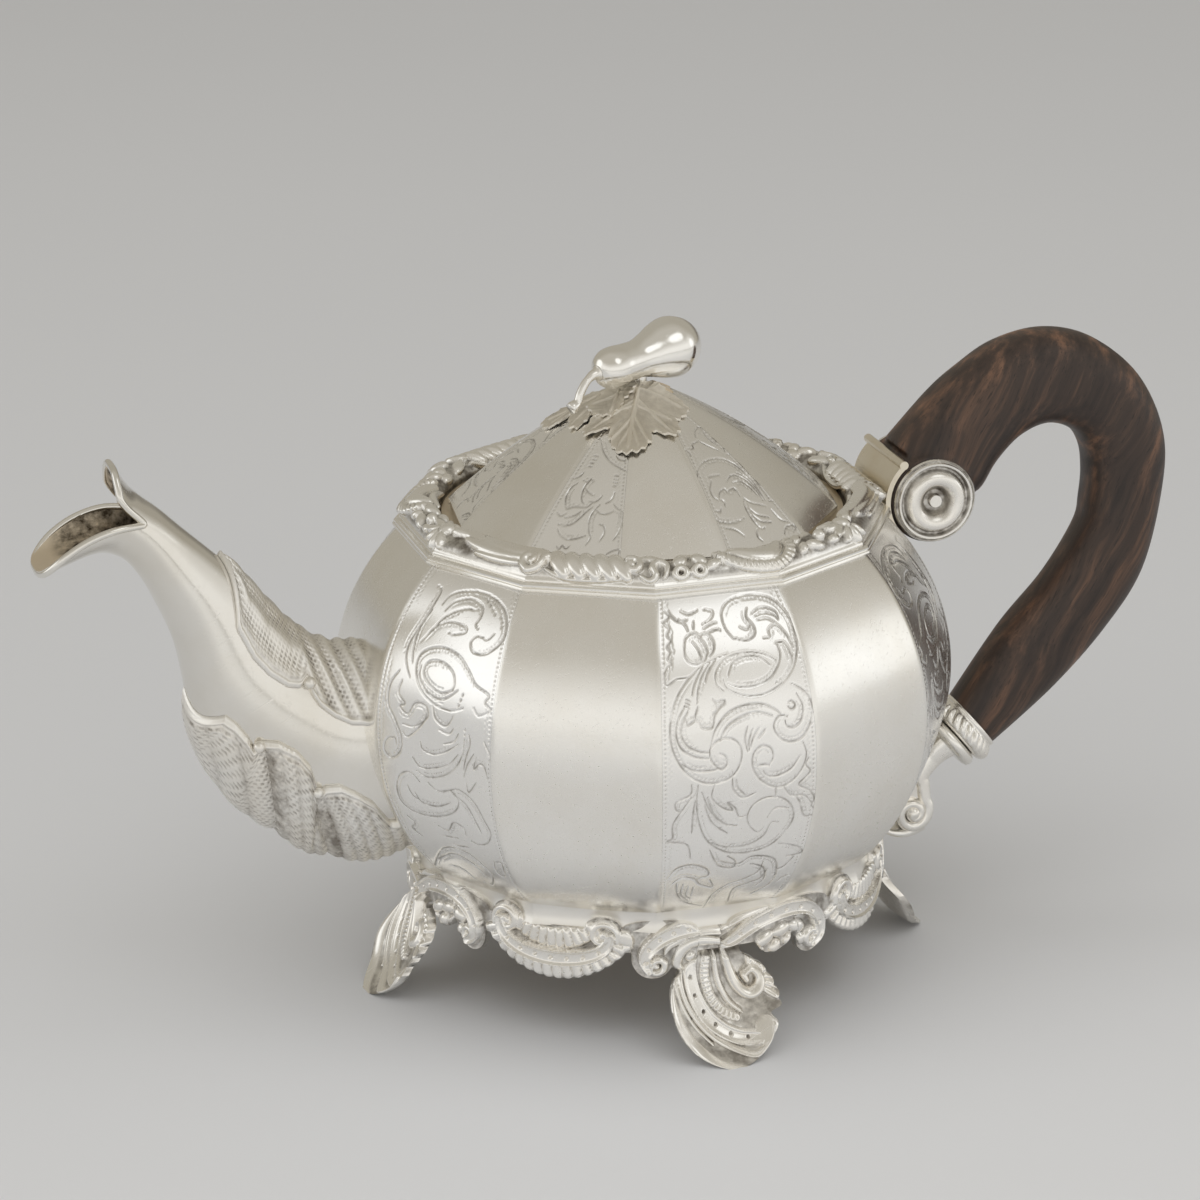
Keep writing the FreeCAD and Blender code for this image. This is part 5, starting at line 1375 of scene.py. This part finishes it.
def apron_relief(x, z):
    """Cartouche of C-scrolls and flutes, with dotted scrolls towards either foot."""
    raised = np.zeros(x.shape)
    c = x - cartouche_x
    hung = [(-15.0, 24.0), (-13.0, 20.0), (-8, 17.0), (0, 15.9), (8, 17.0), (13.0, 20.0), (15.0, 24.0)]
    fluted(raised, c, z, hung, 2.6, 1.0, 2.25, 0.85, 0.0, 0.9)
    fan = [(-8.6, 26.0), (-4.5, 24.0), (0, 23.4), (4.5, 24.0), (8.6, 26.0)]
    fluted(raised, c, z, fan, 2.4, 1.0, 1.9, 0.8, 0.0, 0.75)
    band = [(-12.4, 25.4), (-11.0, 22.2), (-6.5, 20.0), (0, 19.3), (6.5, 20.0), (11.0, 22.0), (12.4, 24.6)]
    strap(raised, c, z, band, 2.0, 1.45, 0.45, 0.62)
    ridge(raised, c, z, curl((-10.8, 25.6), 3.3, 1.2, 200, -1), 0.95, 1.5, 0.75)
    ridge(raised, c, z, curl((10.8, 25.0), 3.3, 1.2, -20, 1), 0.95, 1.5, 0.75)
    lobe(raised, c, z, (-10.8, 25.5), (1.0, 1.0), 1.35)
    lobe(raised, c, z, (10.8, 24.9), (1.0, 1.0), 1.35)
    punch(raised, c, z, dots_on(band, 7, 0.14, 0.86), 0.42, 0.7)
    for spot in ((-15.8, 21.5), (16.2, 22.6), (16.0, 19.8)):
        lobe(raised, c, z, spot, (1.1, 0.9), 0.8, 40)
    near_band = [(-1.5, 21.4), (3.0, 23.4), (8.0, 26.0), (14.5, 27.4), (20.5, 26.6), (24.0, 23.4),
                 (24.4, 19.8), (22.2, 18.0)]
    strap(raised, x, z, near_band, 1.9, 1.5, 0.45, 0.6)
    punch(raised, x, z, dots_on(near_band, 8, 0.08, 0.85), 0.4, 0.7)
    ridge(raised, x, z, curl((22.4, 19.6), 2.1, 1.1, -60, -1), 0.9, 1.5, 0.7)
    ridge(raised, x, z, [(0.5, 25.6), (5.4, 27.4), (11, 29.0)], 0.9, 0.9)
    for spot, size, turned in (((10.4, 21.6), (2.6, 1.5), 30), ((14.6, 22.8), (2.4, 1.5), 20),
                               ((18.6, 22.6), (2.2, 1.6), -20), ((12.8, 19.4), (1.9, 1.4), 60),
                               ((16.4, 20.0), (1.8, 1.5), 80), ((9.0, 18.9), (1.5, 1.2), 40),
                               ((19.6, 19.6), (1.2, 1.5), 0)):
        lobe(raised, x, z, spot, size, 1.3, turned)
    far_band = [(79.4, 25.8), (75.6, 26.6), (70.4, 26.2), (66.0, 24.2), (63.4, 20.8), (64.2, 17.8)]
    strap(raised, x, z, far_band, 2.0, 1.5, 0.45, 0.6)
    punch(raised, x, z, dots_on(far_band, 6, 0.18, 0.92), 0.4, 0.7)
    ridge(raised, x, z, curl((66.0, 18.8), 2.1, 1.1, 210, 1), 0.9, 1.5, 0.7)
    ridge(raised, x, z, [(79.2, 23.0), (74.6, 23.6), (71.4, 22.2), (70.0, 19.2), (70.6, 17.8)], 1.3, 1.3, 0.7)
    ridge(raised, x, z, [(72.0, 24.6), (68.6, 22.8), (67.6, 21.2)], 0.8, 0.9, 0.5)
    for spot in ((72.8, 20.2), (73.2, 18.4), (57.6, 24.2), (59.6, 22.4)):
        lobe(raised, x, z, spot, (1.2, 1.0), 1.0, 50)
    return raised


apron_x = np.linspace(apron_radius * radians(0.03), quarter - apron_radius * radians(0.03), 350)[None, :]
low, high = apron_outline(apron_x)
z = low + (high - low) * np.linspace(0, 1, 66)[:, None]
x = np.broadcast_to(apron_x, z.shape)
raised = apron_relief(x, z)
rounded = np.sqrt(np.clip(np.minimum(z - low, high - z) / 0.7, 0, 1))
reach = apron_radius - 0.55 + (raised - 0.2) * (0.25 + 0.75 * rounded)
hollow = np.clip(1 - raised / 0.45, 0, 1) * 0.9
for node, start in (("apron_front_left", 180), ("apron_front_right", 270), ("apron_back_right", 0),
                    ("apron_back_left", 90)):
    a = x / apron_radius + radians(start)
    places = np.stack([reach * np.cos(a), reach * np.sin(a), z], -1)
    inner = (apron_radius - 2.0) * np.stack([np.cos(a), np.sin(a)], -1)
    behind = np.concatenate([inner, z[..., None]], -1)[::13]
    apron = slab("cast_" + node, places.swapaxes(0, 1), behind.swapaxes(0, 1), hollow.T)
    settle(apron, "pot", cast_silver, node, angle=70)


# Feet
foot_x, foot_z, foot_arc = circle_through((50.25, ring_bottom), (51.45, 15.9), (60.9, 0.0))
# Pixels per millimetre of the foot's drawing, its middle there and that point's height on the foot
foot_zoom, foot_middle, foot_middle_height = 30.3, (830, 850), 10.2


def foot_reach(height):
    """Distance of a foot's outer face from the pot's axis at a height, set back behind the frieze."""
    return foot_x - np.sqrt(foot_arc ** 2 - (height - foot_z) ** 2) - 1.7 * step_up(height, 19.5, 21.5)


def foot_drawing(px, py):
    """Place on the foot of a point of its front view drawing."""
    return ((px - foot_middle[0]) / foot_zoom, foot_middle_height + (foot_middle[1] - py) / foot_zoom)


def foot_path(*points):
    """Places on the foot of several points of its drawing."""
    return [foot_drawing(*point) for point in points]


def foot_relief(x, z):
    """Shell of nested bands round a curl."""
    raised = np.full(x.shape, 0.15)
    band = foot_path((650, 470), (628, 640), (645, 780), (705, 900), (795, 985), (900, 1030), (1010, 1035))
    strap(raised, x, z, band, 1.75, 0.75, 0.25, 0.75)
    rim = foot_path((600, 480), (562, 640), (572, 780), (632, 910), (730, 1020), (850, 1085), (970, 1110),
                    (1070, 1060), (1110, 970))
    ridge(raised, x, z, rim, 0.62, 1.25, 0.8)
    inner = foot_path((585, 470), (535, 640), (545, 800), (610, 940), (710, 1050))
    ridge(raised, x, z, inner, 0.4, 0.8, 0.8)
    brim = foot_path((500, 600), (486, 760), (520, 920), (610, 1060), (730, 1150), (880, 1185), (1030, 1165))
    ridge(raised, x, z, brim, 1.1, 0.75, 0.8)
    punch(raised, x, z, dots_on(band, 7, 0.12, 0.92), 0.42, 0.7)
    flutes = foot_path((742, 540), (722, 660), (745, 790), (815, 885), (895, 925))
    fluted(raised, x, z, flutes, 1.15, 1.0, 0.95, 0.4, 0, 0.8)
    ridge(raised, x, z, foot_path((790, 520), (800, 690), (850, 820), (930, 895)), 0.75, 1.35, 0.6)
    volute = foot_path((850, 505), (872, 620), (915, 735), (985, 795), (1055, 770), (1070, 705), (1025, 655),
                       (975, 680), (985, 715))
    ridge(raised, x, z, volute, 1.35, 1.9, 0.55)
    eye_x, eye_z = foot_drawing(1000, 720)
    for k in range(7):
        turned = radians(-32 + 19 * k)
        ray = [(eye_x + r * cos(turned), eye_z + r * sin(turned)) for r in (3.0, 4.6, 6.4)]
        ridge(raised, x, z, ray, 0.85, 1.0, 0.7)
    lobe(raised, x, z, foot_drawing(1075, 1010), (2.6, 3.0), 1.0)
    bowl = foot_drawing(1010, 925)
    far = ((x - bowl[0]) / 2.6) ** 2 + ((z - bowl[1]) / 2.2) ** 2
    return np.where(far < 1, np.minimum(raised, 0.1 + 0.7 * far), raised)


foot_heights = (ring_bottom - 0.3) * (np.linspace(0, 1, 150) ** 1.25)[:, None]
disc = np.maximum(11.7 * np.sqrt(np.clip(1 - ((foot_heights - 10.3) / 10.45) ** 2, 0, None)), 2.4)
neck = 4.6 + 1.2 * step_up(foot_heights, 20, 25)
left = np.maximum(disc, neck * step_up(foot_heights, 9, 19))
scallop = 0.55 * np.abs(np.sin(pi * (foot_heights - 8.5) / 2.3))
scallop = scallop * step_up(foot_heights, 8.2, 9.5) * step_up(-foot_heights, -19, -17)
notch = 1.7 * np.exp(-((foot_heights - 8.2) / 1.0) ** 2)
right = np.maximum(disc - 0.5 + scallop - notch, neck * step_up(foot_heights, 9, 19))
part = np.linspace(0, 1, 141)[None, :]
x = -left + (left + right) * part
z = np.broadcast_to(foot_heights, x.shape)
raised = foot_relief(x, z)
inset = np.minimum(x + left, right - x)
reach = foot_reach(z) - 0.45 + (raised - 0.35) * (0.2 + 0.8 * np.sqrt(np.clip(inset / 0.8, 0, 1)))
cupped = 0.022 * x ** 2 * step_up(-z, -18, -7) + 2.0 * np.clip(1 - z / 5, 0, 1) ** 2
reach = reach + cupped
behind = foot_reach(z) - 2.1 + cupped
hollow = np.clip(1 - (raised - 0.1) / 0.3, 0, 1)
for node, start in (("foot_handle", 0), ("foot_back", 90), ("foot_spout", 180), ("foot_front", 270)):
    front, back = around_axis(start, reach, x, z), around_axis(start, behind, x, z)[:, ::10]
    foot = slab("cast_" + node, front, back, hollow)
    settle(foot, "pot", cast_silver, node, angle=70)

# Solids that stay as they are get polished, stained or worn silver
for node in ("base_plate", "mouth_collar", "lid_bezel", "finial_stud", "finial_washer", "finial_nut",
             "volute_pin", "lower_pin", "upper_socket", "upper_socket_bead"):
    stay = stained_silver if node in ("base_plate", "lid_bezel", "mouth_collar") else polished_silver
    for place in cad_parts[node].material_slots:
        place.material = worn_silver if node.startswith("upper_socket") else stay


# Stage
def stage_finish():
    """Pale grey floor with painted light: it grows lighter towards its front and is white far in front."""
    finish = bpy.data.materials.new("pale_floor_with_painted_light")
    finish.use_nodes = True
    tree = finish.node_tree
    shader = tree.nodes["Principled BSDF"]
    place = add(tree, "TexCoord").outputs["Object"]
    # Painted light: the floor's colour lightens towards its front.
    forward = {0: place, 1: (0.1, -0.49, 0.0)}
    front = add(tree, "VectorMath", forward, operation="DOT_PRODUCT").outputs["Value"]
    pale = ramp(tree, maths(tree, "ADD", front, 0.5), (0.0, (0.59, 0.60, 0.625)),
                (0.46, (0.625, 0.635, 0.66)), (0.58, (0.69, 0.70, 0.725)), (0.72, (0.9, 0.91, 0.93)))
    cloud = ramp(tree, noise(tree, place, 2.0, 2), (0.3, 0.0), (0.7, 0.05))
    tone = add(tree, "MixRGB", {"Fac": cloud, "Color1": pale, "Color2": (0.8, 0.8, 0.8, 1)})
    tree.links.new(tone.outputs[0], shader.inputs["Base Color"])
    shader.inputs["Roughness"].default_value = 0.75
    return finish


bpy.ops.object.select_all(action="DESELECT")
bpy.ops.mesh.primitive_plane_add(size=12)
floor = bpy.context.object
floor.name = "floor"
floor.data.materials.append(stage_finish())


def studio_surroundings():
    """Surroundings: bright low in front, warm grey above and behind, and the glow of three soft lamps."""
    world = bpy.data.worlds.new("studio")
    bpy.context.scene.world = world
    world.use_nodes = True
    tree = world.node_tree
    way = add(tree, "TexCoord").outputs["Generated"]

    def towards(turn, rise):
        """Nearness of the view to a direction."""
        a, b = radians(turn), radians(rise)
        axis = (cos(a) * cos(b), sin(a) * cos(b), sin(b))
        return add(tree, "VectorMath", {0: way, 1: axis}, operation="DOT_PRODUCT").outputs["Value"]

    def blend(factor, under, over):
        """One tone over another."""
        return add(tree, "MixRGB", {"Fac": factor, "Color1": under, "Color2": over}).outputs[0]

    ahead = maths(tree, "ADD", maths(tree, "MULTIPLY", towards(255, 0), 0.5), 0.5)
    front = ramp(tree, ahead, (0.28, 0.0), (0.5, 1.0))
    height = add(tree, "SeparateXYZ", {0: way}).outputs["Z"]
    low = maths(tree, "MULTIPLY", ramp(tree, height, (0.22, 1.0), (0.60, 0.0)), front)
    tone = blend(front, (0.40, 0.375, 0.32, 1), (0.50, 0.475, 0.425, 1))
    tone = blend(low, tone, (0.90, 0.885, 0.85, 1))
    dim = ramp(tree, towards(44, -8), (0.88, 0.0), (0.97, 1.0))
    tone = blend(maths(tree, "MULTIPLY", dim, 0.7), tone, (0.12, 0.11, 0.095, 1))
    for turn, rise, outer, inner in ((166, 16, 0.93, 0.975), (349, 9, 0.975, 0.99), (300, 47, 0.95, 0.98)):
        tone = blend(ramp(tree, towards(turn, rise), (outer, 0.0), (inner, 1.0)), tone, (1.15, 1.15, 1.13, 1))
    tree.links.new(tone, tree.nodes["Background"].inputs["Color"])
    tree.nodes["Background"].inputs["Strength"].default_value = 1.0


studio_surroundings()


def softbox(name, place, aim, size, power):
    """Rectangular studio lamp that faces a point."""
    lamp = bpy.data.lights.new(name, "AREA")
    lamp.shape, lamp.size, lamp.size_y, lamp.energy = "RECTANGLE", size[0], size[1], power
    stand = bpy.data.objects.new(name, lamp)
    bpy.context.collection.objects.link(stand)
    stand.location = place
    way = np.array(aim) - np.array(place)
    stand.rotation_euler = Vector(way).to_track_quat("-Z", "Y").to_euler()
    stand.visible_glossy = False


softbox("overhead_softbox", (-0.25, -0.5, 1.6), (-0.05, -0.15, 0.0), (2.5, 2.3), 16)

# Camera
lens = bpy.data.cameras.new("camera")
lens.lens, lens.sensor_width, lens.sensor_fit = camera_lens, camera_sensor, "HORIZONTAL"
lens.clip_end = 100.0
camera = bpy.data.objects.new("camera", lens)
bpy.context.collection.objects.link(camera)
frame_axes = Matrix(np.stack([camera_right, camera_up, camera_back], 1).tolist()).to_4x4()
camera.matrix_world = Matrix.Translation(Vector(camera_place)) @ frame_axes
bpy.context.scene.camera = camera
bpy.context.scene.view_settings.view_transform = "Standard"
